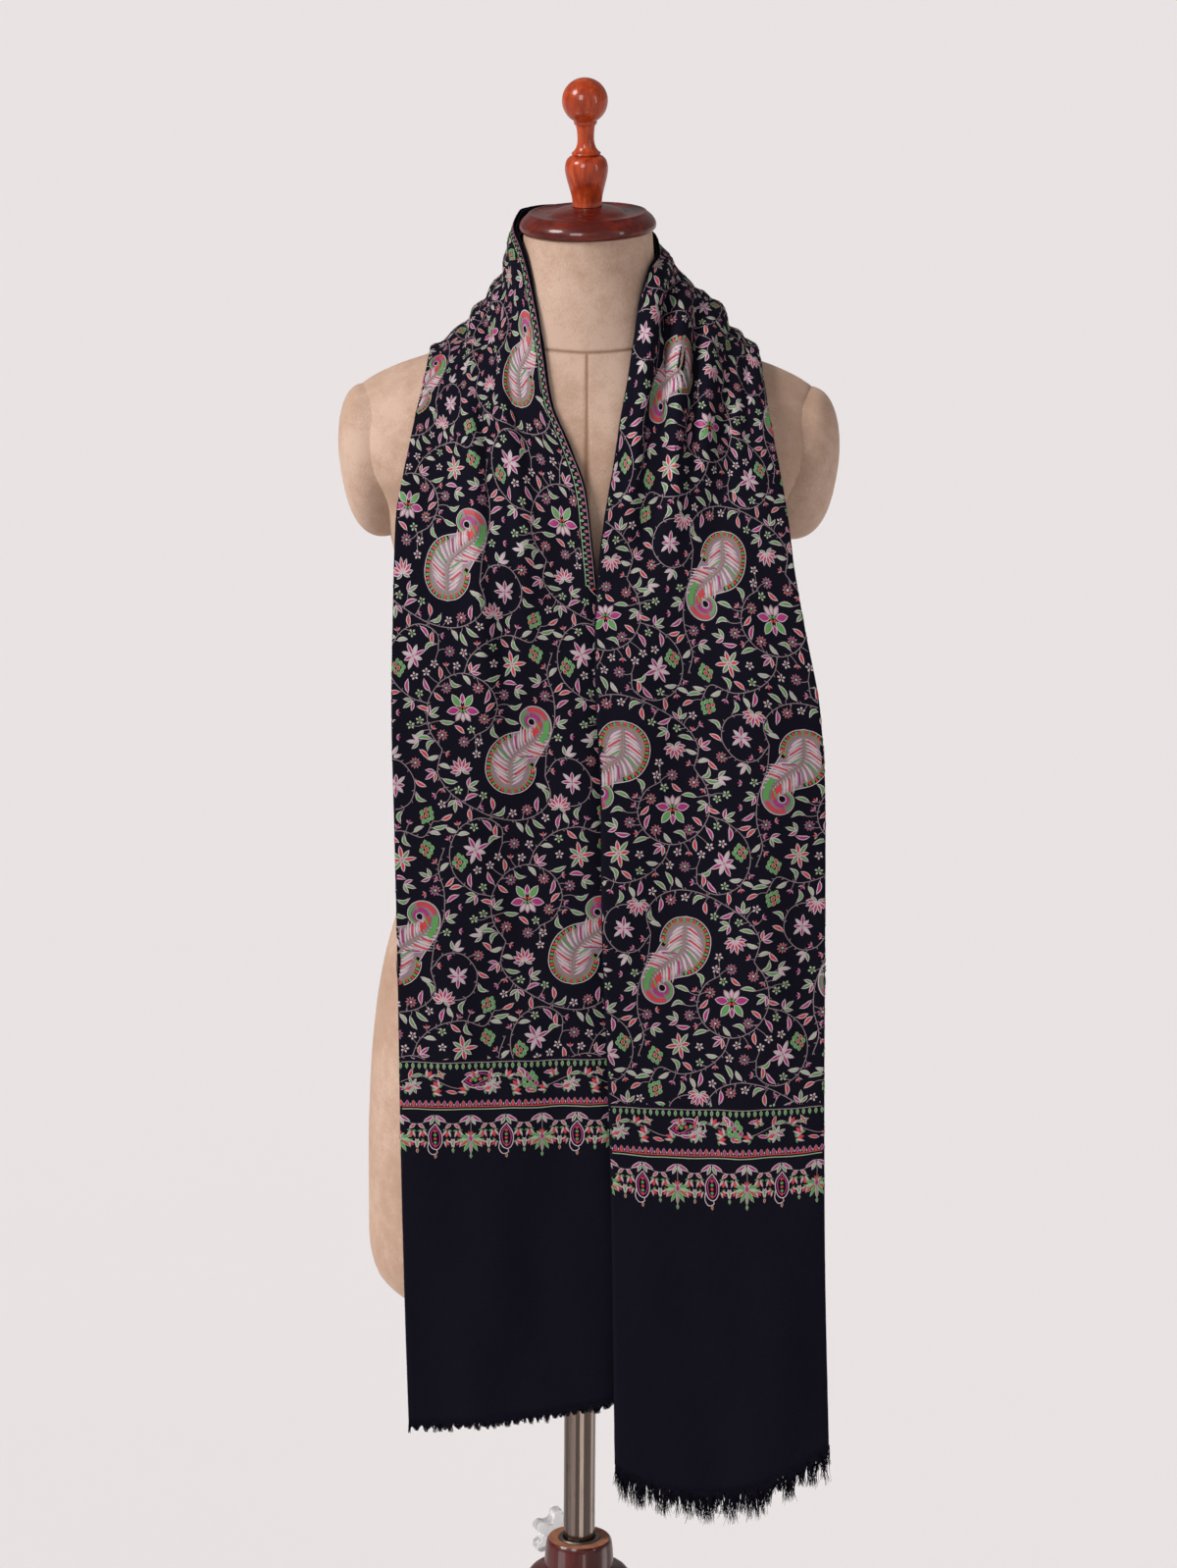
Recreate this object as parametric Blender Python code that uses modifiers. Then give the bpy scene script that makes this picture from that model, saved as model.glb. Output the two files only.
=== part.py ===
"""Pashmina shawl worn on a limbless dress form, with the form's turned stand.

The shawl is one long cloth folded lengthwise, so each stretch of it is a doubled wall: a front
ply and a back ply that meet in a fold along the outer edge. It hangs down the left of the front,
passes round the back of the neck and hangs down the right of the front, over the left panel.

Millimetres in the tables, metres in the scene, +Z up. The front faces -Y and the origin is the
centre of the base's underside.
"""

import math
from collections import namedtuple

import bmesh
import bpy
import numpy as np

MM = 0.001
PIECE_GAP = 0.3

# ---------------------------------------------------------------- driving sizes, mm
POLE_DIAMETER = 25.0
POLE_BOTTOM, POLE_TOP = 200.0, 850.0
FORM_BOTTOM, NECK_TOP = 655.0, 1486.5
BORE_RADIUS = POLE_DIAMETER / 2 + 0.7
CAP_DIAMETER = 102.0
CAP_TILT_FORWARD, CAP_TILT_SIDE = math.radians(3.6), math.radians(1.7)
SOCKET_TOP = 447.6
BASE_DIAMETER, BASE_HEIGHT = 400.0, 34.0
KNOB_HEIGHT = 432.0
KNOB_TURN = math.radians(112.0)
KNOB_DIAMETER, KNOB_THICKNESS = 42.0, 12.0
KNOB_DISTANCE = 43.0
SCREW_RADIUS = 2.5

CLOTH_WALL = 1.2
PLY_SPACING = 2.6
CLOTH_REST = 4.6
PLY_COLUMNS = 12
FOLD_COLUMNS = 2
STEP_HANGING, STEP_ON_FORM = 62.0, 23.0
FRINGE_LEFT, FRINGE_RIGHT = 8.0, 20.0
FRINGE_WALL = 1.6

# ---------------------------------------------------------------- the form's level sections
# front and back are depths from the pole's axis; roundness is the superellipse exponent
Section = namedtuple("Section", "height half_width front back roundness")
FORM = [
    Section(655, 132, 72, 76, 2.0),
    Section(658, 142, 84, 88, 2.1),
    Section(664, 150, 93, 98, 2.2),
    Section(682, 162, 102, 108, 2.25),
    Section(708, 166, 105, 112, 2.25),
    Section(773, 166, 105, 115, 2.25),
    Section(837, 164, 104, 117, 2.2),
    Section(884, 160, 101, 115, 2.2),
    Section(922, 154, 98, 110, 2.2),
    Section(964, 143, 94, 102, 2.2),
    Section(1010, 128, 88, 93, 2.15),
    Section(1055, 119, 86, 86, 2.15),
    Section(1110, 121, 90, 86, 2.2),
    Section(1170, 131, 100, 92, 2.3),
    Section(1235, 142, 106, 99, 2.35),
    Section(1281, 154, 100, 102, 2.2),
    Section(1330, 187, 89, 99, 1.95),
    Section(1364, 176, 74, 91, 1.75),
    Section(1376, 162, 68, 85, 1.65),
    Section(1386, 142, 64, 78, 1.55),
    Section(1394, 119, 61, 71, 1.55),
    Section(1405, 92, 57, 64, 1.65),
    Section(1420, 69, 54, 59, 1.85),
    Section(1440, 56, 51, 54, 2.0),
    Section(1455, 51, 49, 50, 2.0),
    Section(1486.5, 47.6, 47.6, 47.6, 2.0),
]
BUST_HEIGHT, BUST_SPREAD, BUST_RISE = 1232.0, 82.0, 20.0
BUST_WIDTH, BUST_TALL = 45.0, 58.0
# the armholes are flat cuts, from under the arm up to the shoulder, closed by padded caps
ARMHOLE_LOW, ARMHOLE_HIGH = (149.0, 1256.0), (168.0, 1372.0)
ARM_CAP_DEPTH = 45.0
ARM_CAP_BULGE = {-1: 26.0, 1: 30.0}  # the right pad is stuffed fuller

# ---------------------------------------------------------------- the shawl's cross sections
# Each station is a straight run across the folded cloth, from its inner edge, beside the neck
# opening, to its outer fold. crown lifts its middle off the form and dip lowers its middle.
Station = namedtuple("Station", "x_in y_in z_in x_out y_out z_out crown dip")
LEFT = [
    Station(34, -119, 613, -129, -124, 592, 3, 4),
    Station(30, -120, 706, -132, -125, 700, 3, 0),
    Station(28, -121, 830, -134.5, -127, 828, 3, 0),
    Station(27, -122, 945, -136, -128, 943, 3, 0),
    Station(24, -123, 1060, -138, -129, 1056, 3, 0),
    Station(16, -121, 1150, -140, -127, 1150, 3, 0),
    Station(9, -114, 1232, -139, -114, 1232, 3, 0),
    Station(5, -108, 1270, -138, -95, 1282, 3, 0),
    Station(0, -100, 1308, -133, -80, 1314, 3, 0),
    Station(-13, -90, 1342, -128, -70, 1338, 2, 0),
    Station(-26, -75, 1370, -124, -58, 1358, 0, 0),
    Station(-32, -59, 1402, -119, -42, 1377, -4, 0),
    Station(-39, -42, 1442, -116, -20, 1393, -7, 0),
]
NECK = [
    Station(-49, -22, 1476, -114, 4, 1397, -9, 0),
    Station(-55, 5, 1489, -110, 28, 1394, -9, 0),
    Station(-49, 30, 1499, -96, 60, 1378, -8, 0),
    Station(-28, 50, 1500, -64, 86, 1362, -6, 0),
    Station(4, 58, 1496, 2, 102, 1350, -5, 0),
    Station(35, 48, 1488, 68, 87, 1360, -5, 0),
    Station(50, 27, 1479, 102, 63, 1380, -1, 0),
    Station(52, 3, 1473, 122, 31, 1397, 0, 0),
]
RIGHT = [
    Station(47, -25, 1464, 125, 5, 1400, 1, 0),
    Station(39, -41, 1442, 127, -20, 1394, 2, 0),
    Station(35, -52, 1416, 130, -42, 1377, 3, 0),
    Station(30, -67, 1384, 133, -58, 1358, 3, 0),
    Station(24, -82, 1354, 137, -69, 1339, 3, 0),
    Station(19, -96, 1322, 142, -77, 1315, 3, 0),
    Station(13, -108, 1287, 147, -90, 1287, 3, 0),
    Station(9, -118, 1252, 151, -105, 1255, 3, 0),
    Station(7, -127, 1216, 159, -119, 1212, 3, 0),
    Station(8, -131, 1160, 171, -127, 1152, 3, 0),
    Station(12, -132, 1095, 176, -128, 1090, 3, 0),
    Station(14, -132, 983, 178, -128, 985, 3, 0),
    Station(19, -131, 869, 179.5, -128, 870, 3, 2),
    Station(23, -130, 753, 182, -127, 755, 3, 8),
    Station(27, -129, 563, 189, -126, 576, 3, 29),
]
STATIONS = LEFT + NECK + RIGHT
LEFT_LAST = len(LEFT)
RIGHT_FIRST = len(LEFT) + len(NECK)
LEFT_LIFTS, RIGHT_LIFTS = 6, 29  # the stations between which the cloth rests on the form

# Long soft folds. Stations are counted from the left hem, and the two across values place the
# fold's line from 0 at the inner edge to 1 at the outer fold. A negative depth is a trough.
Fold = namedtuple("Fold", "first last across_first across_last width depth")
FOLDS = [
    Fold(4.5, 13.0, 0.47, 0.5, 0.06, -7.5),
    Fold(4.5, 13.0, 0.58, 0.62, 0.075, 6.5),
    Fold(5.5, 12.5, 0.36, 0.38, 0.07, 5.5),
    Fold(8.0, 13.0, 0.14, 0.1, 0.08, -4.0),
    Fold(7.0, 13.5, 0.24, 0.26, 0.06, -4.0),
    Fold(12.0, 17.5, 0.3, 0.34, 0.11, -4.0),
    Fold(12.5, 18.5, 0.66, 0.6, 0.12, 1.5),
    Fold(15.0, 20.5, 0.8, 0.74, 0.1, -4.0),
    Fold(17.5, 21.5, 0.55, 0.62, 0.14, 4.0),
    Fold(20.0, 28.0, 0.2, 0.26, 0.055, -13.0),
    Fold(20.3, 26.0, 0.46, 0.45, 0.055, -10.0),
    Fold(20.5, 27.5, 0.1, 0.14, 0.055, 7.0),
    Fold(20.5, 27.5, 0.33, 0.37, 0.06, 9.0),
    Fold(21.0, 26.5, 0.56, 0.56, 0.07, 6.0),
    Fold(22.0, 28.0, 0.68, 0.62, 0.08, -3.5),
    Fold(0.0, 5.5, 0.36, 0.3, 0.16, -2.5),
    Fold(0.0, 4.5, 0.72, 0.7, 0.16, 2.5),
    Fold(27.5, 36.0, 0.34, 0.4, 0.16, -3.0),
    Fold(28.0, 35.0, 0.7, 0.74, 0.14, 3.0),
]


# ---------------------------------------------------------------- curves through table rows
def through(places, values, at):
    """A smooth curve through (place, value) rows that never swings past them, read at `at`."""
    places, values = np.asarray(places, float), np.asarray(values, float)
    step = np.diff(places)
    slope = np.diff(values) / step
    knots = np.zeros_like(values)
    knots[0], knots[-1] = slope[0], slope[-1]
    for i in range(1, len(places) - 1):
        if slope[i - 1] * slope[i] > 0:
            before, after = 2 * step[i] + step[i - 1], step[i] + 2 * step[i - 1]
            knots[i] = (before + after) / (before / slope[i - 1] + after / slope[i])
    at = np.clip(at, places[0], places[-1])
    i = np.clip(np.searchsorted(places, at) - 1, 0, len(step) - 1)
    t, h = (at - places[i]) / step[i], step[i]
    start = (2 * t**3 - 3 * t**2 + 1) * values[i] + (t**3 - 2 * t**2 + t) * h * knots[i]
    end = (3 * t**2 - 2 * t**3) * values[i + 1] + (t**3 - t**2) * h * knots[i + 1]
    return start + end


def eased(t):
    t = np.clip(t, 0.0, 1.0)
    return t * t * (3 - 2 * t)


# ---------------------------------------------------------------- the form's surface
def form_section(height):
    """Half width, front depth, back depth and roundness of the form at a height."""
    heights = [row.height for row in FORM]
    return [through(heights, [row[k] for row in FORM], height) for k in range(1, 5)]


def bust(x, height):
    across = (np.abs(x) - BUST_SPREAD) / BUST_WIDTH
    return BUST_RISE * np.exp(-(across**2) - ((height - BUST_HEIGHT) / BUST_TALL) ** 2)


def form_ratio(x, y, z):
    """1 on the form's surface, more outside it and less inside it."""
    half_width, front, back, roundness = form_section(z)
    depth = np.where(y < 0, -y / (front + bust(x, z)), y / back)
    return (np.abs(x / half_width) ** roundness + np.abs(depth) ** roundness) ** (1 / roundness)


def pushed_clear(points, clearance):
    """Points moved out along the form's surface normal until they are `clearance` off it."""
    points = points.copy()
    reach = 0.5
    for _ in range(4):
        x, y, z = points.T
        slopes = np.stack(
            [
                form_ratio(x + reach, y, z) - form_ratio(x - reach, y, z),
                form_ratio(x, y + reach, z) - form_ratio(x, y - reach, z),
                form_ratio(x, y, z + reach) - form_ratio(x, y, z - reach),
            ],
            axis=1,
        ) / (2 * reach)
        steepness = np.linalg.norm(slopes, axis=1, keepdims=True) + 1e-9
        distance = (form_ratio(x, y, z)[:, None] - 1) / steepness
        short = np.maximum(clearance - distance, 0.0)
        points += slopes / steepness * short
    return points


# ---------------------------------------------------------------- the shawl's surface
def station_curves(places):
    """The inner edge, outer fold, crown and dip at fractional station numbers."""
    table = np.array(STATIONS, float)
    inner, outer = table[:, 0:3], table[:, 3:6]
    middle = (inner + outer) / 2
    along = np.concatenate([[0], np.cumsum(np.linalg.norm(np.diff(middle, axis=0), axis=1))])
    at = np.interp(places, np.arange(len(STATIONS)), along)
    columns = [through(along, table[:, k], at) for k in range(table.shape[1])]
    return np.stack(columns[0:3], 1), np.stack(columns[3:6], 1), columns[6], columns[7], at


def places_along(first, last):
    """Fractional station numbers from first to last, close together where the form bends them."""
    fine = np.linspace(first, last, 400)
    along = station_curves(fine)[4]
    hanging = (fine < LEFT_LIFTS) | (fine > RIGHT_LIFTS)
    step = np.where(hanging, STEP_HANGING, STEP_ON_FORM)
    steps = np.concatenate([[0], np.cumsum(np.diff(along) / step[1:])])
    return np.interp(np.linspace(0, steps[-1], int(round(steps[-1])) + 1), steps, fine)


def fold_height(place, across):
    height = np.zeros(np.broadcast(place, across).shape)
    for fold in FOLDS:
        t = (place - fold.first) / (fold.last - fold.first)
        line = fold.across_first + (fold.across_last - fold.across_first) * np.clip(t, 0, 1)
        length = np.where((t > 0) & (t < 1), np.sin(np.pi * np.clip(t, 0, 1)) ** 0.8, 0)
        height = height + fold.depth * length * np.exp(-(((across - line) / fold.width) ** 2))
    return height


def straight_cloth(places, across):
    """The cloth as straight runs from edge to edge: rows are places along it, columns across."""
    inner, outer, _, dip, _ = station_curves(places)
    u = across[None, :, None]
    grid = inner[:, None, :] * (1 - u) + outer[:, None, :] * u
    grid[:, :, 2] -= dip[:, None] * (4 * across * (1 - across))[None, :]
    return grid


def sheet_normals(surface, places, across):
    """Unit normals, away from the form, of a surface given as a function of place and across."""
    places = np.clip(places, 0.05, len(STATIONS) - 1.05)
    along = surface(places + 0.02, across) - surface(places - 0.02, across)
    over = surface(places, across + 0.005) - surface(places, across - 0.005)
    normals = np.cross(along, over)
    return normals / np.linalg.norm(normals, axis=2, keepdims=True)


def cloth_middle(places, across):
    """Middle of the doubled cloth, with its folds, resting on the form where it meets it."""
    crown = station_curves(places)[2]
    arch = 4 * across * (1 - across)
    lift = crown[:, None] * arch[None, :] + fold_height(places[:, None], across[None, :])
    grid = straight_cloth(places, across)
    grid = grid + sheet_normals(straight_cloth, places, across) * lift[:, :, None]
    return pushed_clear(grid.reshape(-1, 3), CLOTH_REST).reshape(grid.shape)


def doubled_sheet(first, last):
    """Front ply, outer fold and back ply of one stretch, as one open sheet of points."""
    places = places_along(first, last)
    across = np.linspace(0, 1, PLY_COLUMNS)
    middle = cloth_middle(places, across)
    normals = sheet_normals(cloth_middle, places, across)
    outward = middle[:, -1] - middle[:, -2]
    outward /= np.linalg.norm(outward, axis=1, keepdims=True)
    half = PLY_SPACING / 2
    front, back = middle + normals * half, middle - normals * half
    turns = []
    for k in range(1, FOLD_COLUMNS + 1):
        angle = math.pi * k / (FOLD_COLUMNS + 1)
        turn = normals[:, -1] * math.cos(angle) + outward * math.sin(angle)
        turns.append(middle[:, -1] + turn * half)
    return np.concatenate([front, np.stack(turns, 1), back[:, ::-1]], axis=1)


# ---------------------------------------------------------------- building helpers
def colour(hex_code):
    """A hex sRGB colour as the linear values that shaders take."""
    parts = [int(hex_code[i : i + 2], 16) / 255 for i in (1, 3, 5)]
    return [c / 12.92 if c <= 0.04045 else ((c + 0.055) / 1.055) ** 2.4 for c in parts] + [1.0]


def finish(name, hex_code, roughness, metallic=0.0, transmission=0.0):
    material = bpy.data.materials.new(name)
    material.use_nodes = True
    shader = material.node_tree.nodes["Principled BSDF"]
    shader.inputs["Base Color"].default_value = colour(hex_code)
    shader.inputs["Roughness"].default_value = roughness
    shader.inputs["Metallic"].default_value = metallic
    shader.inputs["Transmission Weight"].default_value = transmission
    return material


def add_object(name, data, material, collection, parent=None):
    made = bpy.data.objects.new(name, data)
    data.materials.append(material)
    collection.objects.link(made)
    made.parent = parent
    return made


def grid_mesh(name, points, wraps=False):
    """A mesh of quads through a grid of points in mm; wraps joins the last column to the first."""
    rows, columns = points.shape[:2]
    spans = columns if wraps else columns - 1
    mesh = bmesh.new()
    verts = [[mesh.verts.new(p * MM) for p in row] for row in points]
    for i in range(rows - 1):
        for j in range(spans):
            k = (j + 1) % columns
            mesh.faces.new([verts[i][j], verts[i][k], verts[i + 1][k], verts[i + 1][j]])
    return mesh, verts


def to_data(mesh, name, sharp_angle=40.0):
    data = bpy.data.meshes.new(name)
    mesh.to_mesh(data)
    mesh.free()
    data.shade_smooth()
    data.set_sharp_from_angle(angle=math.radians(sharp_angle))
    return data


def turned(name, profile, material, collection, steps=24, parent=None):
    """A turned piece: (radius, height) points in mm from the top, down the outside."""
    mesh = bmesh.new()
    verts = [mesh.verts.new((radius * MM, 0, height * MM)) for radius, height in profile]
    for upper, lower in zip(verts, verts[1:]):
        mesh.edges.new((upper, lower))
    data = bpy.data.meshes.new(name)
    mesh.to_mesh(data)
    mesh.free()
    made = add_object(name, data, material, collection, parent)
    screw = made.modifiers.new("Turned", "SCREW")
    screw.angle = 2 * math.pi
    screw.steps = screw.render_steps = steps
    screw.use_merge_vertices = True
    screw.merge_threshold = 0.00001
    screw.use_smooth_shade = True
    return made


def cylinder(name, radius, bottom, top, material, collection, sides=24):
    mesh = bmesh.new()
    bmesh.ops.create_cone(
        mesh, cap_ends=True, segments=sides, radius1=radius * MM, radius2=radius * MM,
        depth=(top - bottom) * MM,
    )
    bmesh.ops.translate(mesh, verts=mesh.verts, vec=(0, 0, (top + bottom) / 2 * MM))
    return add_object(name, to_data(mesh, name), material, collection)


# ---------------------------------------------------------------- the dress form
def armhole_x(height):
    """Half width at which the armhole's flat cut meets a height."""
    (x_low, z_low), (x_high, z_high) = ARMHOLE_LOW, ARMHOLE_HIGH
    return x_low + (x_high - x_low) * (height - z_low) / (z_high - z_low)


def neck_lean(x, y, z):
    """Extra height that tilts the neck's top to the cap's underside."""
    share = eased((z - 1440.0) / (NECK_TOP - 1440.0))
    return share * (y * math.tan(CAP_TILT_FORWARD) + x * math.tan(CAP_TILT_SIDE))


def form_ring(height, segments):
    half_width, front, back, roundness = form_section(height)
    angle = 2 * math.pi * np.arange(segments) / segments
    power = 2 / roundness
    x = half_width * np.sign(np.cos(angle)) * np.abs(np.cos(angle)) ** power
    share = np.sign(np.sin(angle)) * np.abs(np.sin(angle)) ** power
    y = np.where(share < 0, share * (front + bust(x, height)), share * back)
    if ARMHOLE_LOW[1] - 8 < height < ARMHOLE_HIGH[1] + 2:
        x = np.clip(x, -armhole_x(height), armhole_x(height))
    return np.stack([x, y, height + neck_lean(x, y, height)], 1)


def make_torso(material, collection):
    heights = [655, 657, 660, 665, 674, 690, 715, 760, 805, 850, 890, 925, 960, 995, 1030, 1060,
               1095, 1130, 1165, 1195, 1220, 1245, 1265, 1290, 1315, 1340, 1358, 1371, 1380, 1388,
               1394, 1400, 1407, 1416, 1428, 1442, 1460, NECK_TOP]
    segments = 32
    rings = np.stack([form_ring(h, segments) for h in heights[::-1]])
    angle = 2 * math.pi * np.arange(segments) / segments
    bore = np.stack([np.cos(angle), np.sin(angle), 0 * angle], 1) * BORE_RADIUS
    mouth, end = bore + (0, 0, FORM_BOTTOM), bore + (0, 0, POLE_TOP + 0.5)
    mesh, verts = grid_mesh("form_torso", np.concatenate([rings, [mouth], [end]]), wraps=True)
    mesh.faces.new(verts[0][::-1])
    mesh.faces.new(verts[-1])
    bmesh.ops.recalc_face_normals(mesh, faces=mesh.faces)
    return add_object("form_torso", to_data(mesh, "form_torso", 50), material, collection)


def make_arm_cap(name, side, material, collection):
    """A padded oval cap on the armhole's flat cut; side is -1 on the left, 1 on the right."""
    low, high = np.array(ARMHOLE_LOW), np.array(ARMHOLE_HIGH)
    up = (high - low) / np.linalg.norm(high - low)
    out = np.array([up[1], -up[0]])
    half_tall = np.linalg.norm(high - low) / 2 - 0.5
    centre = (low + high) / 2 + out * PIECE_GAP
    segments = 20
    angle = 2 * math.pi * np.arange(segments) / segments
    fullness = 2.6 - 0.7 * np.sin(angle)
    full_bulge = ARM_CAP_BULGE[side]
    rings = []
    for share in (0.999, 0.985, 0.94, 0.86, 0.74, 0.56, 0.34, 0.14):
        bulge = full_bulge * (1 - share**fullness) ** (1 / 2.2)
        along = half_tall * share * np.sin(angle)
        x = centre[0] + up[0] * along + out[0] * bulge
        z = centre[1] + up[1] * along + out[1] * bulge
        rings.append(np.stack([side * x, ARM_CAP_DEPTH * share * np.cos(angle), z], 1))
    flat = rings[0].copy()
    first_bulge = full_bulge * (1 - 0.999**fullness) ** (1 / 2.2)
    flat[:, 0] -= side * out[0] * first_bulge
    flat[:, 2] -= out[1] * first_bulge
    mesh, verts = grid_mesh(name, np.stack([flat] + rings), wraps=True)
    mesh.faces.new(verts[0])
    mesh.faces.new(verts[-1])
    bmesh.ops.recalc_face_normals(mesh, faces=mesh.faces)
    return add_object(name, to_data(mesh, name, 50), material, collection)


def arc(centre, radius, start, end, count):
    """(radius, height) points along an arc in a turned profile; angles in degrees."""
    angles = np.radians(np.linspace(start, end, count))
    return [(centre[0] + radius * math.cos(a), centre[1] + radius * math.sin(a)) for a in angles]


def make_neck_cap(material, collection, tilt):
    """Turned cap: a rounded rim with a raised bead, a shallow groove and a low dome inside it."""
    edge = CAP_DIAMETER / 2
    profile = [(0, 18.6), (13, 18.5), (19, 17.4), (24.5, 15.6), (28.5, 13.2), (31, 12.3), (37, 12.6)]
    profile += [(40.5, 13.6)] + arc((43, 13.0), 1.2, 100, 20, 3)
    profile += [(46.2, 11.8), (48.8, 9.4), (50.4, 6.8), (edge, 4.2), (50.6, 2.2), (49.2, 0.8)]
    profile += [(47.6, PIECE_GAP), (0, PIECE_GAP)]
    return turned("neck_cap", profile, material, collection, parent=tilt)


def make_finial(material, collection, tilt):
    """Turned finial: a vase, a ring, a narrow waist, a collar and a ball on top."""
    foot = 18.6 + PIECE_GAP
    ball, middle = 17.0, 96.5
    profile = arc((0, middle), ball, 90, -59, 9)
    profile += [(8.6, 81.2), (8.5, 79.8), (7.0, 77.5), (6.3, 72), (6.25, 67), (7.2, 62.5), (9.2, 59.5)]
    profile += [(10.6, 58.4), (10.6, 57.2), (9.9, 56.4), (12.3, 55.4), (14.3, 53.4), (15.5, 50.6)]
    profile += [(16.0, 47.2), (15.8, 43.6), (14.9, 39), (13.3, 33), (11.9, 27.6), (11.1, 23)]
    profile += [(11.1, foot), (0, foot)]
    return turned("finial", profile, material, collection, steps=20, parent=tilt)


# ---------------------------------------------------------------- the stand
def make_column(material, collection):
    """Turned socket column, bored from its top for the bushing and the pole."""
    bore = 16.8
    profile = [(bore, SOCKET_TOP), (24.6, SOCKET_TOP), (25.6, SOCKET_TOP - 1.5)]
    profile += [(26.6, 440), (27.3, 432), (27.4, 422.5)]
    profile += arc((33.5, 413.0), 7.8, 80, -80, 7)
    profile += [(29, 403.5), (27.5, 396), (26.5, 380), (27.5, 330), (30.5, 270), (32.5, 220)]
    profile += [(31.5, 180), (27, 142), (25, 128)] + arc((28, 119), 7, 80, -80, 6)
    profile += [(27, 110), (28, 96), (34, 74), (44, 54), (52, 44), (54, BASE_HEIGHT + PIECE_GAP)]
    profile += [(bore, BASE_HEIGHT + PIECE_GAP), (bore, SOCKET_TOP)]
    return turned("stand_column", profile, material, collection, steps=20)


def make_bushing(material, collection):
    """Steel sleeve in the column's bore, with a thin flange round the pole."""
    inner, outer = BORE_RADIUS, 16.4
    top = SOCKET_TOP + 1.2
    profile = [(inner, top), (outer - 0.5, top), (outer, top - 0.5)]
    profile += [(outer, 330), (inner, 330), (inner, top)]
    return turned("socket_bushing", profile, material, collection, steps=24)


def make_base(material, collection):
    """Round turned base with a soft ogee edge."""
    rim = BASE_DIAMETER / 2
    profile = [(0, BASE_HEIGHT), (60, BASE_HEIGHT), (66, BASE_HEIGHT - 3), (120, 29), (165, 24.5)]
    profile += [(180, 22.5), (184, 20)] + arc((rim - 9, 9), 9, 75, -90, 7) + [(0, 0)]
    return turned("stand_base", profile, material, collection, steps=32)


def make_knob(material, steel, collection, cutters, bored):
    """Clear six-lobed thumb knob and its clamp screw, which reaches the pole through a hole."""
    hub = bpy.data.objects.new("knob_axis", None)
    collection.objects.link(hub)
    hub.location = (0, 0, KNOB_HEIGHT * MM)
    hub.rotation_euler = (0, math.pi / 2, KNOB_TURN)
    lobes, points = 6, 36
    outline = bpy.data.curves.new("clamp_knob", "CURVE")
    outline.dimensions = "2D"
    outline.fill_mode = "BOTH"
    outline.extrude = (KNOB_THICKNESS / 2 - 1.2) * MM
    outline.bevel_depth = 1.2 * MM
    outline.bevel_resolution = 1
    spline = outline.splines.new("POLY")
    spline.points.add(points - 1)
    for k, point in enumerate(spline.points):
        angle = 2 * math.pi * k / points
        radius = (KNOB_DIAMETER / 2 - 1.2) * (0.86 + 0.14 * math.cos(lobes * angle)) * MM
        point.co = (radius * math.cos(angle), radius * math.sin(angle), 0, 1)
    spline.use_cyclic_u = True
    knob = add_object("clamp_knob", outline, material, collection, hub)
    knob.location = (0, 0, (KNOB_DISTANCE + KNOB_THICKNESS / 2) * MM)
    weld = knob.modifiers.new("Weld", "WELD")
    weld.merge_threshold = 0.00001
    tip = POLE_DIAMETER / 2 + PIECE_GAP
    head = KNOB_DISTANCE - PIECE_GAP
    shaft = cylinder("clamp_screw", SCREW_RADIUS, tip, head, steel, collection, 16)
    shaft.parent = hub
    drill = cylinder("screw_hole", SCREW_RADIUS + 0.4, 5.0, head, steel, cutters, 16)
    drill.parent = hub
    drill.hide_render = True
    drill.display_type = "WIRE"
    for piece in bored:
        hole = piece.modifiers.new("Screw hole", "BOOLEAN")
        hole.operation = "DIFFERENCE"
        hole.object = drill


# ---------------------------------------------------------------- the shawl
def make_stretch(name, first, last, material, collection):
    points = doubled_sheet(first, last)
    mesh, _ = grid_mesh(name, points)
    cloth = add_object(name, to_data(mesh, name, 60), material, collection)
    wall = cloth.modifiers.new("Wall", "SOLIDIFY")
    wall.thickness = CLOTH_WALL * MM
    wall.offset = 0.0
    return cloth


def make_fringe(name, place, inward, length, material, collection):
    """A plain strip of the fringe's reach below one hem; inward is the station step into cloth."""
    across = np.linspace(0, 1, PLY_COLUMNS)
    rows = cloth_middle(np.array([place, place + inward]), across)
    hem = rows[0]
    down = rows[0] - rows[1]
    down /= np.linalg.norm(down, axis=1, keepdims=True)
    reach = [PIECE_GAP, PIECE_GAP + length * 0.5, PIECE_GAP + length]
    points = np.stack([hem + down * r for r in reach])
    mesh, _ = grid_mesh(name, points)
    strip = add_object(name, to_data(mesh, name, 60), material, collection)
    wall = strip.modifiers.new("Wall", "SOLIDIFY")
    wall.thickness = FRINGE_WALL * MM
    wall.offset = 0.0
    return strip


def make_shawl(cloth, thread, collection):
    seam = 0.012
    end = len(STATIONS) - 1
    make_stretch("shawl_left_panel", 0, LEFT_LAST - seam, cloth, collection)
    make_stretch("shawl_neck_stretch", LEFT_LAST + seam, RIGHT_FIRST - seam, cloth, collection)
    make_stretch("shawl_right_panel", RIGHT_FIRST + seam, end, cloth, collection)
    make_fringe("fringe_left", 0.0, 0.1, FRINGE_LEFT, thread, collection)
    make_fringe("fringe_right", float(end), -0.1, FRINGE_RIGHT, thread, collection)


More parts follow.
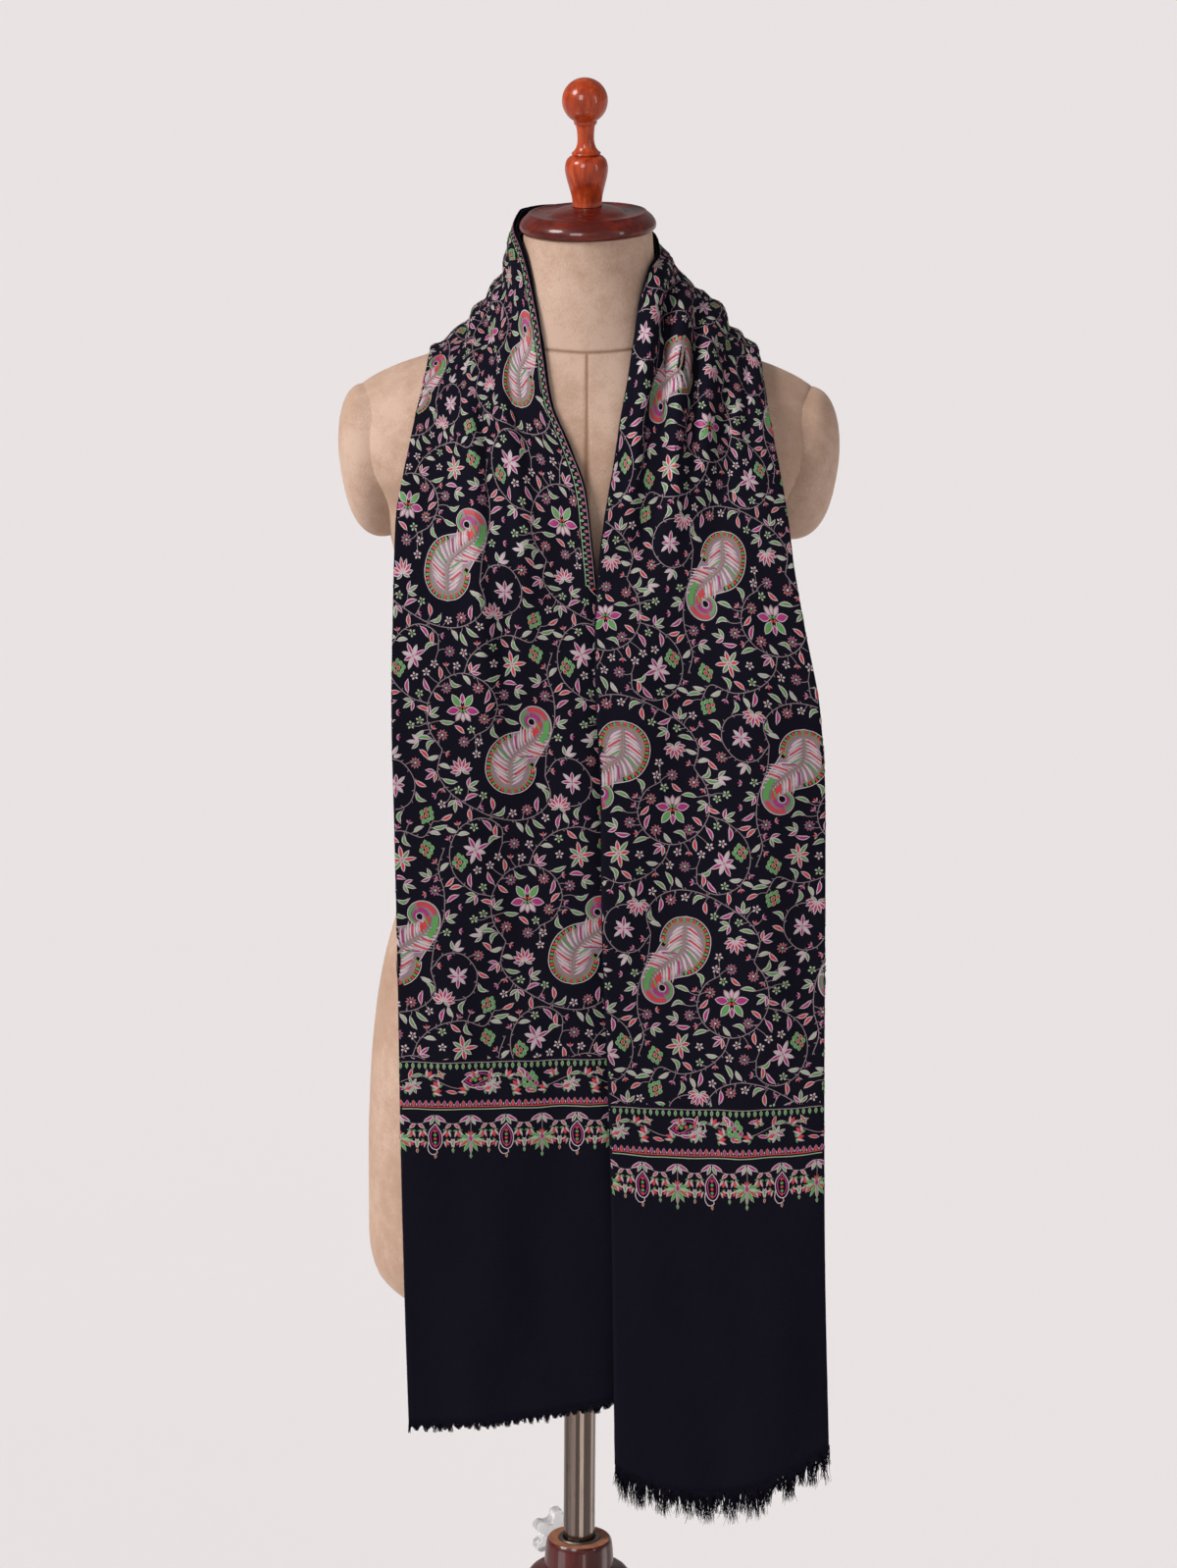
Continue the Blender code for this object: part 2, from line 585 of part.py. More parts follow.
def main():
    for item in list(bpy.data.objects):
        bpy.data.objects.remove(item, do_unlink=True)
    parts = bpy.data.collections.new("pashmina_shawl_on_dress_form")
    bpy.context.scene.collection.children.link(parts)
    cutters = bpy.data.collections.new("cutters")
    bpy.context.scene.collection.children.link(cutters)
    cloth = finish("navy_pashmina", "#17162A", 0.85)
    thread = finish("fringe_thread", "#1B1A2E", 0.9)
    suede = finish("form_cover", "#BC9C80", 0.9)
    cherry = finish("cap_wood", "#7A2012", 0.22)
    finial_wood = finish("finial_wood", "#A2401E", 0.2)
    mahogany = finish("stand_wood", "#6A1F18", 0.28)
    steel = finish("pole_steel", "#A39488", 0.35, metallic=1.0)
    acrylic = finish("clear_acrylic", "#E8ECEC", 0.05, transmission=1.0)

    make_torso(suede, parts)
    make_arm_cap("arm_cap_left", -1, suede, parts)
    make_arm_cap("arm_cap_right", 1, suede, parts)
    tilt = bpy.data.objects.new("neck_tilt", None)
    parts.objects.link(tilt)
    tilt.location = (0, 0, NECK_TOP * MM)
    tilt.rotation_euler = (CAP_TILT_FORWARD, -CAP_TILT_SIDE, 0)
    make_neck_cap(cherry, parts, tilt)
    make_finial(finial_wood, parts, tilt)

    cylinder("pole", POLE_DIAMETER / 2, POLE_BOTTOM, POLE_TOP, steel, parts)
    column = make_column(mahogany, parts)
    bushing = make_bushing(steel, parts)
    make_base(mahogany, parts)
    make_knob(acrylic, steel, parts, cutters, [column, bushing])

    make_shawl(cloth, thread, parts)


main()
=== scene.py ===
"""Looks of a pashmina shawl worn on a dress form with its turned stand.

The shawl is navy pashmina twill, covered with a silk-embroidered trailing field of leaves,
rosettes and large paisleys, and bordered at each end above a plain navy hem with a frayed fringe.
Lengths are millimetres in the tables and while shapes are worked out, and metres in the scene.
"""

from __future__ import annotations

import logging
import math
from dataclasses import dataclass
from enum import Enum
from typing import Any, Callable, NamedTuple

import bpy
import numpy as np
from mathutils import Matrix, Vector

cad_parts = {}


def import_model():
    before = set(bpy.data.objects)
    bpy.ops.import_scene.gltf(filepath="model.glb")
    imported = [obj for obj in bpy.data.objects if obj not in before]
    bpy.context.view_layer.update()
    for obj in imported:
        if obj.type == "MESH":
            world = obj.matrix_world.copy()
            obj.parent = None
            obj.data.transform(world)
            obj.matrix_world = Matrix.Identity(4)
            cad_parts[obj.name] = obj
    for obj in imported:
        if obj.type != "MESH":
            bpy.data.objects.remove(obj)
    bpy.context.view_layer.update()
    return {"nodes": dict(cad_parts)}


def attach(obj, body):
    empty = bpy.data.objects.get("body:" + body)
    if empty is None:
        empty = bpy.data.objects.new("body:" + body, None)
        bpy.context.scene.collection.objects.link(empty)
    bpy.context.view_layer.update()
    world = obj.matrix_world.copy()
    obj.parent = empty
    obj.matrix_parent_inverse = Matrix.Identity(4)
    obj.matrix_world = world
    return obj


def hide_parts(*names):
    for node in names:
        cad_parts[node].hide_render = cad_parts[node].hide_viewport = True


MM = 0.001
log = logging.getLogger("shawl")
Array = np.ndarray
Node = bpy.types.Node


# ---------------------------------------------------------------- colours and nodes
def linear(hex_code: str) -> tuple[float, float, float, float]:
    """A hex sRGB colour as the linear values that shaders take.

    Args:
        hex_code: a colour such as "#1A2B3C".

    Returns:
        Red, green, blue and alpha, each from 0 to 1.
    """
    parts = [int(hex_code[i : i + 2], 16) / 255 for i in (1, 3, 5)]
    red, green, blue = [c / 12.92 if c <= 0.04045 else ((c + 0.055) / 1.055) ** 2.4 for c in parts]
    return red, green, blue, 1.0


def spots(size_mm: float) -> float:
    """The scale that makes a noise's spots a real size, in millimetres."""
    return 1 / (size_mm * MM)


def bands(size_mm: float) -> float:
    """The scale that sets a wave's bands a real distance apart: a wave turns 20 radians a unit."""
    return 2 * math.pi / (20 * size_mm * MM)


def set_inputs(tree: bpy.types.NodeTree, node: Node, inputs: dict) -> None:
    """Sets or links a node's inputs.

    Args:
        tree: the material's node tree.
        node: the node.
        inputs: by name or number, a value, an output socket, or a node for its first output.
    """
    for name, value in inputs.items():
        source = value.outputs[0] if isinstance(value, Node) else value
        if isinstance(source, bpy.types.NodeSocket):
            tree.links.new(source, node.inputs[name])
        else:
            node.inputs[name].default_value = source


def add_node(tree: bpy.types.NodeTree, kind: str, options: dict[str, Any], inputs: dict) -> Node:
    """Adds one node with its options set and its inputs set or linked.

    Args:
        tree: the material's node tree.
        kind: the node's type name without "ShaderNode".
        options: the node's own settings, by property name; "stops" is a ramp's rows of place and colour.
        inputs: the inputs, as set_inputs takes them.

    Returns:
        The new node.
    """
    node = tree.nodes.new("ShaderNode" + kind)
    for name, value in options.items():
        if name == "stops":
            for stop, (place, colour) in zip(node.color_ramp.elements, (value[0], value[-1])):
                stop.position, stop.color = place, linear(colour)
            for place, colour in value[1:-1]:
                node.color_ramp.elements.new(place).color = linear(colour)
        else:
            setattr(node, name, value)
    set_inputs(tree, node, inputs)
    return node


def new_material(name: str, constants: dict[str, Any]) -> tuple[bpy.types.NodeTree, Node, bpy.types.Material]:
    """Makes a material whose shader has the given constant values.

    Args:
        name: the material's name.
        constants: constant values on the shader's own sockets.

    Returns:
        The node tree, the shader node and the material.
    """
    material = bpy.data.materials.new(name)
    material.use_nodes = True
    shader = material.node_tree.nodes["Principled BSDF"]
    set_inputs(material.node_tree, shader, constants)
    return material.node_tree, shader, material


# ---------------------------------------------------------------- finishes
@dataclass(frozen=True)
class PashminaTwill:
    """Hand-woven pashmina in 2/2 twill: a soft matt navy whose nap catches a bluish edge light.

    The twill lines are 0.6 mm apart in the real cloth and are drawn 1.6 mm apart, so they show.
    """

    name: str = "pashmina_twill_navy"
    ground: str = "#080710"
    raised: str = "#100F1B"
    nap: str = "#6C76B4"
    twill_mm: float = 1.6
    twill_slant: float = math.radians(52)
    nap_mm: float = 1.3
    cloud_mm: float = 60.0

    def material(self) -> bpy.types.Material:
        """The cloth's material: twill bands and nap on the piece's UV map, which is in metres.

        Returns:
            The material.
        """
        tree, shader, made = new_material(self.name, {
            "Roughness": 0.9, "Sheen Weight": 0.025, "Sheen Roughness": 0.4,
            "Sheen Tint": linear(self.nap), "Specular IOR Level": 0.05,
        })
        flat = add_node(tree, "UVMap", {"uv_map": "cloth"}, {})
        turned = add_node(tree, "Mapping", {}, {"Vector": flat, "Rotation": (0, 0, self.twill_slant)})
        twill = add_node(tree, "TexWave", {"wave_type": "BANDS", "bands_direction": "X"}, {
            "Vector": turned, "Scale": bands(self.twill_mm),
            "Distortion": 1.2, "Detail": 1.0, "Detail Scale": 1.5,
        })
        nap = add_node(tree, "TexNoise", {}, {"Vector": flat, "Scale": spots(self.nap_mm), "Detail": 3.0})
        cloud = add_node(tree, "TexNoise", {}, {"Vector": flat, "Scale": spots(self.cloud_mm), "Detail": 2.0})
        weave = add_node(tree, "Math", {"operation": "MULTIPLY_ADD"}, {0: twill, 1: 0.35, 2: nap})
        held = {"operation": "MULTIPLY_ADD", "use_clamp": True}
        share = add_node(tree, "Math", held, {0: cloud, 1: 0.5, 2: weave})
        stops = ((0.35, self.ground), (1.0, self.raised))
        tone = add_node(tree, "ValToRGB", {"stops": stops}, {"Fac": share})
        relief = add_node(tree, "Bump", {}, {"Height": weave, "Strength": 0.5, "Distance": 0.0004})
        set_inputs(tree, shader, {"Base Color": tone, "Normal": relief})
        return made


class Silk(Enum):
    """The embroidery's silk threads, by their colours."""

    LILAC = "#B7A5AB"
    ROSE = "#9C7683"
    STEM = "#7F6C73"
    GREEN = "#4A8A41"
    SAGE = "#8FA586"
    CORAL = "#B42A31"
    MAGENTA = "#981268"
    OCHRE = "#96784A"


@dataclass(frozen=True)
class SilkThread:
    """Untwisted silk floss laid in flat stitches: a clean colour with a soft satin gloss.

    Each shape is too small to show the strands, so the thread is one colour and its relief is modelled.
    """

    silk: Silk

    def material(self) -> bpy.types.Material:
        """The thread's material, constant over the surface.

        Returns:
            The material.
        """
        return new_material("silk_floss_" + self.silk.name.lower(), {
            "Base Color": linear(self.silk.value), "Roughness": 0.5, "Sheen Weight": 0.08,
            "Sheen Roughness": 0.3, "Specular IOR Level": 0.35,
        })[2]


@dataclass(frozen=True)
class YarnFray:
    """Loose pashmina yarn ends: matt dark navy fibres, mottled every 4 mm or so."""

    name: str = "pashmina_yarn_navy"
    dark: str = "#08070E"
    light: str = "#131220"
    mottle_mm: float = 4.0

    def material(self) -> bpy.types.Material:
        """The yarn's material, mottled along the strands in object space.

        Returns:
            The material.
        """
        tree, shader, made = new_material(self.name, {"Roughness": 0.95, "Specular IOR Level": 0.05})
        place = add_node(tree, "TexCoord", {}, {}).outputs["Object"]
        mottle = add_node(tree, "TexNoise", {}, {
            "Vector": place, "Scale": spots(self.mottle_mm), "Detail": 1.0,
        })
        tone = add_node(tree, "ValToRGB", {"stops": ((0.3, self.dark), (0.75, self.light))}, {"Fac": mottle})
        set_inputs(tree, shader, {"Base Color": tone})
        return made


@dataclass(frozen=True)
class Suede:
    """Brushed suede cloth stretched over the form: matt tan with a faint nap and cloudy handling marks.

    Its nap is about 0.3 mm and is drawn 1 mm, so it shows. The seam attribute darkens the stitched joins.
    """

    name: str = "suede_cloth_tan"
    deep: str = "#A2836F"
    mid: str = "#B2937F"
    pale: str = "#C4A896"
    sheen: str = "#F0DCCB"
    seam_shade: str = "#B8A696"
    nap_mm: float = 1.0
    mark_mm: float = 9.0
    cloud_mm: float = 90.0

    def material(self) -> bpy.types.Material:
        """The suede's material: clouds, streaked nap and dark seams in object space.

        Returns:
            The material.
        """
        tree, shader, made = new_material(self.name, {
            "Roughness": 0.85, "Sheen Weight": 0.25, "Sheen Roughness": 0.5,
            "Sheen Tint": linear(self.sheen), "Specular IOR Level": 0.2,
        })
        place = add_node(tree, "TexCoord", {}, {}).outputs["Object"]
        cloud = add_node(tree, "TexNoise", {}, {
            "Vector": place, "Scale": spots(self.cloud_mm), "Detail": 4.0, "Roughness": 0.55,
        })
        squeezed = add_node(tree, "Mapping", {}, {"Vector": place, "Scale": (1.0, 1.0, 0.45)})
        nap = add_node(tree, "TexNoise", {}, {"Vector": squeezed, "Scale": spots(self.nap_mm), "Detail": 2.0})
        marks = add_node(tree, "TexNoise", {}, {"Vector": place, "Scale": spots(self.mark_mm), "Detail": 3.0})
        both = add_node(tree, "Math", {"operation": "MULTIPLY_ADD"}, {0: nap, 1: 0.35, 2: cloud})
        share = add_node(tree, "Math", {"operation": "MULTIPLY_ADD"}, {0: marks, 1: 0.30, 2: both})
        stops = ((0.55, self.deep), (0.8, self.mid), (1.0, self.pale))
        tone = add_node(tree, "ValToRGB", {"stops": stops}, {"Fac": share})
        seam = add_node(tree, "Attribute", {"attribute_name": "seam"}, {}).outputs["Fac"]
        shade = add_node(tree, "Mix", {"data_type": "RGBA", "blend_type": "MULTIPLY"}, {
            "Factor": seam, 6: tone, 7: linear(self.seam_shade),
        })
        relief = add_node(tree, "Bump", {}, {"Height": both, "Strength": 0.25, "Distance": 0.0005})
        set_inputs(tree, shader, {"Base Color": shade.outputs[2], "Normal": relief})
        return made


@dataclass(frozen=True)
class LacqueredWood:
    """Turned close-grained hardwood, stained red and lacquered: a deep colour under a clear wet gloss.

    Grain bands are about 5 mm wide with pores near 0.9 mm, drawn long along the grain.
    """

    name: str
    dark: str
    mid: str
    light: str
    grain_axis: int = 2
    grain_squeeze: float = 0.11
    band_mm: float = 5.0
    pore_mm: float = 0.9

    def material(self) -> bpy.types.Material:
        """The wood's material: long bands and pores along one axis in object space, under a clear coat.

        Returns:
            The material.
        """
        tree, shader, made = new_material(self.name, {
            "Roughness": 0.35, "Coat Weight": 0.35, "Coat Roughness": 0.05, "Specular IOR Level": 0.15,
        })
        stretch = [1.0, 1.0, 1.0]
        stretch[self.grain_axis] = self.grain_squeeze
        place = add_node(tree, "TexCoord", {}, {}).outputs["Object"]
        along = add_node(tree, "Mapping", {}, {"Vector": place, "Scale": stretch})
        band = add_node(tree, "TexNoise", {}, {
            "Vector": along, "Scale": spots(self.band_mm), "Detail": 4.0, "Distortion": 0.6,
        })
        pore = add_node(tree, "TexNoise", {}, {"Vector": along, "Scale": spots(self.pore_mm), "Detail": 2.0})
        both = add_node(tree, "Math", {"operation": "MULTIPLY_ADD"}, {0: pore, 1: 0.3, 2: band})
        stops = ((0.42, self.dark), (0.66, self.mid), (0.9, self.light))
        tone = add_node(tree, "ValToRGB", {"stops": stops}, {"Fac": both})
        relief = add_node(tree, "Bump", {}, {"Height": pore, "Strength": 0.05, "Distance": 0.0002})
        set_inputs(tree, shader, {"Base Color": tone, "Normal": relief})
        return made


@dataclass(frozen=True)
class RawWood:
    """Sawn end of the socket, left bare: dull brown end grain with turning rings about 1.2 mm apart."""

    name: str = "raw_end_grain"
    dark: str = "#6E3D28"
    light: str = "#A8704F"
    ring_mm: float = 1.2
    mottle_mm: float = 6.0

    def material(self) -> bpy.types.Material:
        """The raw wood's material: turning rings and mottling in object space.

        Returns:
            The material.
        """
        tree, shader, made = new_material(self.name, {"Roughness": 0.75})
        place = add_node(tree, "TexCoord", {}, {}).outputs["Object"]
        rings = add_node(tree, "TexWave", {"wave_type": "RINGS", "rings_direction": "Z"}, {
            "Vector": place, "Scale": bands(self.ring_mm), "Distortion": 2.0, "Detail": 2.0,
        })
        mottle = add_node(tree, "TexNoise", {}, {
            "Vector": place, "Scale": spots(self.mottle_mm), "Detail": 3.0,
        })
        both = add_node(tree, "Math", {"operation": "MULTIPLY_ADD"}, {0: rings, 1: 0.4, 2: mottle})
        tone = add_node(tree, "ValToRGB", {"stops": ((0.35, self.dark), (0.95, self.light))}, {"Fac": both})
        set_inputs(tree, shader, {"Base Color": tone})
        return made


@dataclass(frozen=True)
class PlatedSteel:
    """Satin nickel-plated steel tube: a warm grey metal, drawn lengthwise, with small dark pits."""

    name: str
    tint: str
    roughness: float
    pit: str = "#3A322C"
    streak_mm: float = 1.2
    pit_mm: float = 7.0

    def material(self) -> bpy.types.Material:
        """The plated steel's material: lengthwise streaks and sparse pits in object space.

        Returns:
            The material.
        """
        tree, shader, made = new_material(self.name, {"Metallic": 1.0})
        place = add_node(tree, "TexCoord", {}, {}).outputs["Object"]
        drawn = add_node(tree, "Mapping", {}, {"Vector": place, "Scale": (1.0, 1.0, 0.04)})
        streak = add_node(tree, "TexNoise", {}, {
            "Vector": drawn, "Scale": spots(self.streak_mm), "Detail": 2.0,
        })
        worn = add_node(tree, "Mapping", {}, {"Vector": place, "Scale": (1.0, 1.0, 0.35)})
        marks = add_node(tree, "TexNoise", {}, {
            "Vector": worn, "Scale": spots(self.pit_mm), "Detail": 6.0, "Roughness": 0.75,
        })
        pitted = add_node(tree, "MapRange", {}, {"Value": marks, "From Min": 0.60, "From Max": 0.70})
        tone = add_node(tree, "Mix", {"data_type": "RGBA"}, {
            "Factor": pitted, 6: linear(self.tint), 7: linear(self.pit),
        })
        rough = add_node(tree, "MapRange", {}, {
            "Value": streak, "To Min": self.roughness - 0.08, "To Max": self.roughness + 0.12,
        })
        relief = add_node(tree, "Bump", {}, {"Height": streak, "Strength": 0.05, "Distance": 0.0002})
        set_inputs(tree, shader, {"Base Color": tone.outputs[2], "Roughness": rough, "Normal": relief})
        return made


@dataclass(frozen=True)
class ClearAcrylic:
    """Injection-moulded clear acrylic: colourless and glassy, slightly scuffed on its faces."""

    name: str = "clear_acrylic"
    tint: str = "#F4F4F6"
    scuff_mm: float = 4.0

    def material(self) -> bpy.types.Material:
        """The acrylic's material: clear with a faint scuffed roughness in object space.

        Returns:
            The material.
        """
        tree, shader, made = new_material(self.name, {
            "Base Color": linear(self.tint), "Transmission Weight": 0.82, "IOR": 1.49,
        })
        place = add_node(tree, "TexCoord", {}, {}).outputs["Object"]
        scuff = add_node(tree, "TexNoise", {}, {
            "Vector": place, "Scale": spots(self.scuff_mm), "Detail": 4.0,
        })
        rough = add_node(tree, "MapRange", {}, {"Value": scuff, "To Min": 0.10, "To Max": 0.35})
        set_inputs(tree, shader, {"Roughness": rough})
        return made


@dataclass(frozen=True)
class StudioPaper:
    """Pale seamless background paper, matt."""

    name: str = "studio_paper"
    tint: str = "#EFECED"

    def material(self) -> bpy.types.Material:
        """The paper's material, one even colour."""
        constants = {"Base Color": linear(self.tint), "Roughness": 1.0, "Specular IOR Level": 0.0}
        return new_material(self.name, constants)[2]


# ---------------------------------------------------------------- numbers and meshes
def through(places: Array, values: Array, at: Array) -> Array:
    """A smooth curve through rows of (place, value) that never swings past them.

    It is a piecewise cubic: each knot's slope is the weighted harmonic mean of its two spans' slopes,
    or 0 where the values turn.

    Args:
        places: the rows' places, rising.
        values: the rows' values.
        at: the places to read.

    Returns:
        The curve's values there.
    """
    places, values = np.asarray(places, float), np.asarray(values, float)
    step = np.diff(places)
    slope = np.diff(values) / step
    knots = np.zeros_like(values)
    knots[0], knots[-1] = slope[0], slope[-1]
    before, after = 2 * step[1:] + step[:-1], step[1:] + 2 * step[:-1]
    same = slope[:-1] * slope[1:] > 0
    left, right = np.where(same, slope[:-1], 1.0), np.where(same, slope[1:], 1.0)
    knots[1:-1] = np.where(same, (before + after) / (before / left + after / right), 0.0)
    at = np.clip(at, places[0], places[-1])
    i = np.clip(np.searchsorted(places, at) - 1, 0, len(step) - 1)
    t, h = (at - places[i]) / step[i], step[i]
    start = (2 * t**3 - 3 * t**2 + 1) * values[i] + (t**3 - 2 * t**2 + t) * h * knots[i]
    end = (3 * t**2 - 2 * t**3) * values[i + 1] + (t**3 - t**2) * h * knots[i + 1]
    return start + end


def eased(t: Array) -> Array:
    """0 to 1 with level ends: 3t² − 2t³, held outside that range."""
    t = np.clip(t, 0.0, 1.0)
    return t * t * (3 - 2 * t)


def unit(vectors: Array, least: float = 0.0) -> Array:
    """Vectors scaled to length 1; a small least keeps those of no length from dividing by nothing."""
    return vectors / (np.linalg.norm(vectors, axis=-1, keepdims=True) + least)


def run_along(path: Array) -> Array:
    """The distance along a path at each of its points."""
    return np.concatenate([[0], np.cumsum(np.linalg.norm(np.diff(path, axis=0), axis=1))])


def round_turn(count: int) -> Array:
    """Even angles round a full turn, in radians."""
    return 2 * np.pi * np.arange(count) / count


def rounded(points: Any, step: float) -> Array:
    """A smooth path through points, at an even spacing.

    Each span is a Catmull-Rom cubic, whose slope at a point is half the way between its neighbours;
    the dense path is then walked at equal steps.

    Args:
        points: the points, one a row.
        step: the spacing wanted.

    Returns:
        The path's points.
    """
    p = np.asarray(points, float)
    p = np.concatenate([[2 * p[0] - p[1]], p, [2 * p[-1] - p[-2]]])
    t = np.linspace(0, 1, 16, endpoint=False)[None, :, None]
    a, b, c, d = (p[k : len(p) - 3 + k][:, None, :] for k in range(4))
    spans = 0.5 * (2 * b + (c - a) * t + (2 * a - 5 * b + 4 * c - d) * t**2 + (3 * b - a - 3 * c + d) * t**3)
    dense = np.concatenate([spans.reshape(-1, p.shape[1]), p[-2:-1]])
    run = run_along(dense)
    even = np.linspace(0, run[-1], max(2, int(round(run[-1] / step)) + 1))
    return np.stack([np.interp(even, run, dense[:, k]) for k in range(p.shape[1])], 1)


def grid_quads(rows: int, columns: int, wraps: bool = False) -> Array:
    """The quads of a grid of points.

    Args:
        rows: rows of points.
        columns: points a row.
        wraps: whether the last column joins the first.

    Returns:
        Rows of four point numbers.
    """
    i, j = np.meshgrid(np.arange(rows - 1), np.arange(columns if wraps else columns - 1), indexing="ij")
    k = (j + 1) % columns
    here, below = i * columns, (i + 1) * columns
    return np.stack([here + j, here + k, below + k, below + j], -1).reshape(-1, 4)


def make_piece(name: str, points: Array, faces: Any, sharp_angle: float = 180.0) -> bpy.types.Object:
    """Puts points and faces into a smooth-shaded mesh object at the origin.

    Args:
        name: the piece's name.
        points: millimetre points, one a row.
        faces: rows of point numbers, or lists of them.
        sharp_angle: edges bent more than this many degrees stay sharp.

    Returns:
        The new object.
    """
    data = bpy.data.meshes.new(name)
    listed = faces.tolist() if isinstance(faces, np.ndarray) else faces
    data.from_pydata((np.asarray(points) * MM).tolist(), [], listed)
    data.validate()
    data.shade_smooth()
    if sharp_angle < 180:
        data.set_sharp_from_angle(angle=math.radians(sharp_angle))
    made = bpy.data.objects.new(name, data)
    bpy.context.scene.collection.objects.link(made)
    return made


def placed_by(place: Matrix, points: Array) -> Array:
    """Points turned and moved by a placement."""
    return points @ np.array(place.to_3x3()).T + np.array(place.translation)


def fit_out(piece: bpy.types.Object, body: str, materials: list, replaced: tuple) -> None:
    """Dresses a piece, ties it to its body, stands it in for CAD nodes and reports it.

    Args:
        piece: the finished object.
        body: the CAD body it rides on.
        materials: its materials, in slot order.
        replaced: the CAD nodes it stands for.
    """
    for material in materials:
        piece.data.materials.append(material)
    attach(piece, body)
    if replaced:
        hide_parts(*replaced)
    log.info("%s: %d faces on %s", piece.name, len(piece.data.polygons), body)


# ---------------------------------------------------------------- the form's shape
class Section(NamedTuple):
    """One level section of the form, in mm; front and back are depths from the pole's axis."""

    height: float
    half_width: float
    front: float
    back: float
    roundness: float


@dataclass(frozen=True)
class FormShape:
    """The form's outer surface as level superellipses, with a rise for each side of the bust."""

    sections: tuple[Section, ...] = (
        Section(655, 132, 72, 76, 2.0), Section(658, 142, 84, 88, 2.1), Section(664, 150, 93, 98, 2.2),
        Section(682, 162, 102, 108, 2.25), Section(708, 166, 105, 112, 2.25),
        Section(773, 166, 105, 115, 2.25),
        Section(837, 164, 104, 117, 2.2), Section(884, 160, 101, 115, 2.2), Section(922, 154, 98, 110, 2.2),
        Section(964, 143, 94, 102, 2.2), Section(1010, 128, 88, 93, 2.15), Section(1055, 119, 86, 86, 2.15),
        Section(1110, 121, 90, 86, 2.2), Section(1170, 131, 100, 92, 2.3), Section(1235, 142, 106, 99, 2.35),
        Section(1281, 154, 100, 102, 2.2), Section(1330, 187, 89, 99, 1.95), Section(1364, 176, 74, 91, 1.75),
        Section(1376, 162, 68, 85, 1.65), Section(1386, 142, 64, 78, 1.55), Section(1394, 119, 61, 71, 1.55),
        Section(1405, 92, 57, 64, 1.65), Section(1420, 69, 54, 59, 1.85), Section(1440, 56, 51, 54, 2.0),
        Section(1455, 51, 49, 50, 2.0), Section(1486.5, 47.6, 47.6, 47.6, 2.0),
    )
    bust_height: float = 1232.0
    bust_spread: float = 82.0
    bust_rise: float = 20.0
    bust_width: float = 45.0
    bust_tall: float = 58.0
    armhole_low: tuple[float, float] = (149.0, 1256.0)
    armhole_high: tuple[float, float] = (168.0, 1372.0)
    neck_top: float = 1486.5
    lean_forward: float = math.radians(3.6)
    lean_side: float = math.radians(1.7)

    def section(self, height: Array) -> list[Array]:
        """Half width, front depth, back depth and roundness at each height, as smooth curves up the form."""
        table = np.array(self.sections)
        return [through(table[:, 0], table[:, k], height) for k in range(1, 5)]

    def bust(self, x: Array, height: Array) -> Array:
        """Extra front depth: a bell across and up, centred at the spread to each side."""
        across = (np.abs(x) - self.bust_spread) / self.bust_width
        return self.bust_rise * np.exp(-(across**2) - ((height - self.bust_height) / self.bust_tall) ** 2)

    def ratio(self, x: Array, y: Array, z: Array) -> Array:
        """1 on the surface, more outside it, less inside: the superellipse's radius over its size.

        Args:
            x: places across.
            y: places from front to back.
            z: heights.

        Returns:
            The ratio at each point.
        """
        half_width, front, back, roundness = self.section(z)
        depth = np.where(y < 0, -y / (front + self.bust(x, z)), y / back)
        return (np.abs(x / half_width) ** roundness + np.abs(depth) ** roundness) ** (1 / roundness)

    def pushed_clear(self, points: Array, clearance: float) -> Array:
        """Moves points out of the form's reach.

        Each is moved four times along the slope of ratio, by what it lacks of the clearance.

        Args:
            points: points, one a row.
            clearance: the least distance wanted from the surface.

        Returns:
            The moved points.
        """
        points, reach = points.copy(), 0.5
        for _ in range(4):
            x, y, z = points.T
            slopes = np.stack([
                self.ratio(x + reach, y, z) - self.ratio(x - reach, y, z),
                self.ratio(x, y + reach, z) - self.ratio(x, y - reach, z),
                self.ratio(x, y, z + reach) - self.ratio(x, y, z - reach),
            ], axis=1) / (2 * reach)
            steepness = np.linalg.norm(slopes, axis=1, keepdims=True) + 1e-9
            distance = (self.ratio(x, y, z)[:, None] - 1) / steepness
            points += slopes / steepness * np.maximum(clearance - distance, 0.0)
        return points

    def lean(self, x: Array, y: Array, z: Array) -> Array:
        """Extra height that tilts the neck's top: eased in over its last part, times the slope."""
        share = eased((z - 1440.0) / (self.neck_top - 1440.0))
        return share * (y * math.tan(self.lean_forward) + x * math.tan(self.lean_side))


# ---------------------------------------------------------------- the shawl's shape
class Station(NamedTuple):
    """A straight run across the folded cloth, from inner edge to outer fold, in mm."""

    x_in: float
    y_in: float
    z_in: float
    x_out: float
    y_out: float
    z_out: float
    crown: float
    dip: float


class Fold(NamedTuple):
    """A long soft fold between two stations; a negative depth is a trough."""

    first: float
    last: float
    across_first: float
    across_last: float
    width: float
    depth: float


class Ripple(NamedTuple):
    """A slow wave in the cloth, by its wavelengths along and across, its height and its start."""

    along: float
    across: float
    height: float
    start: float


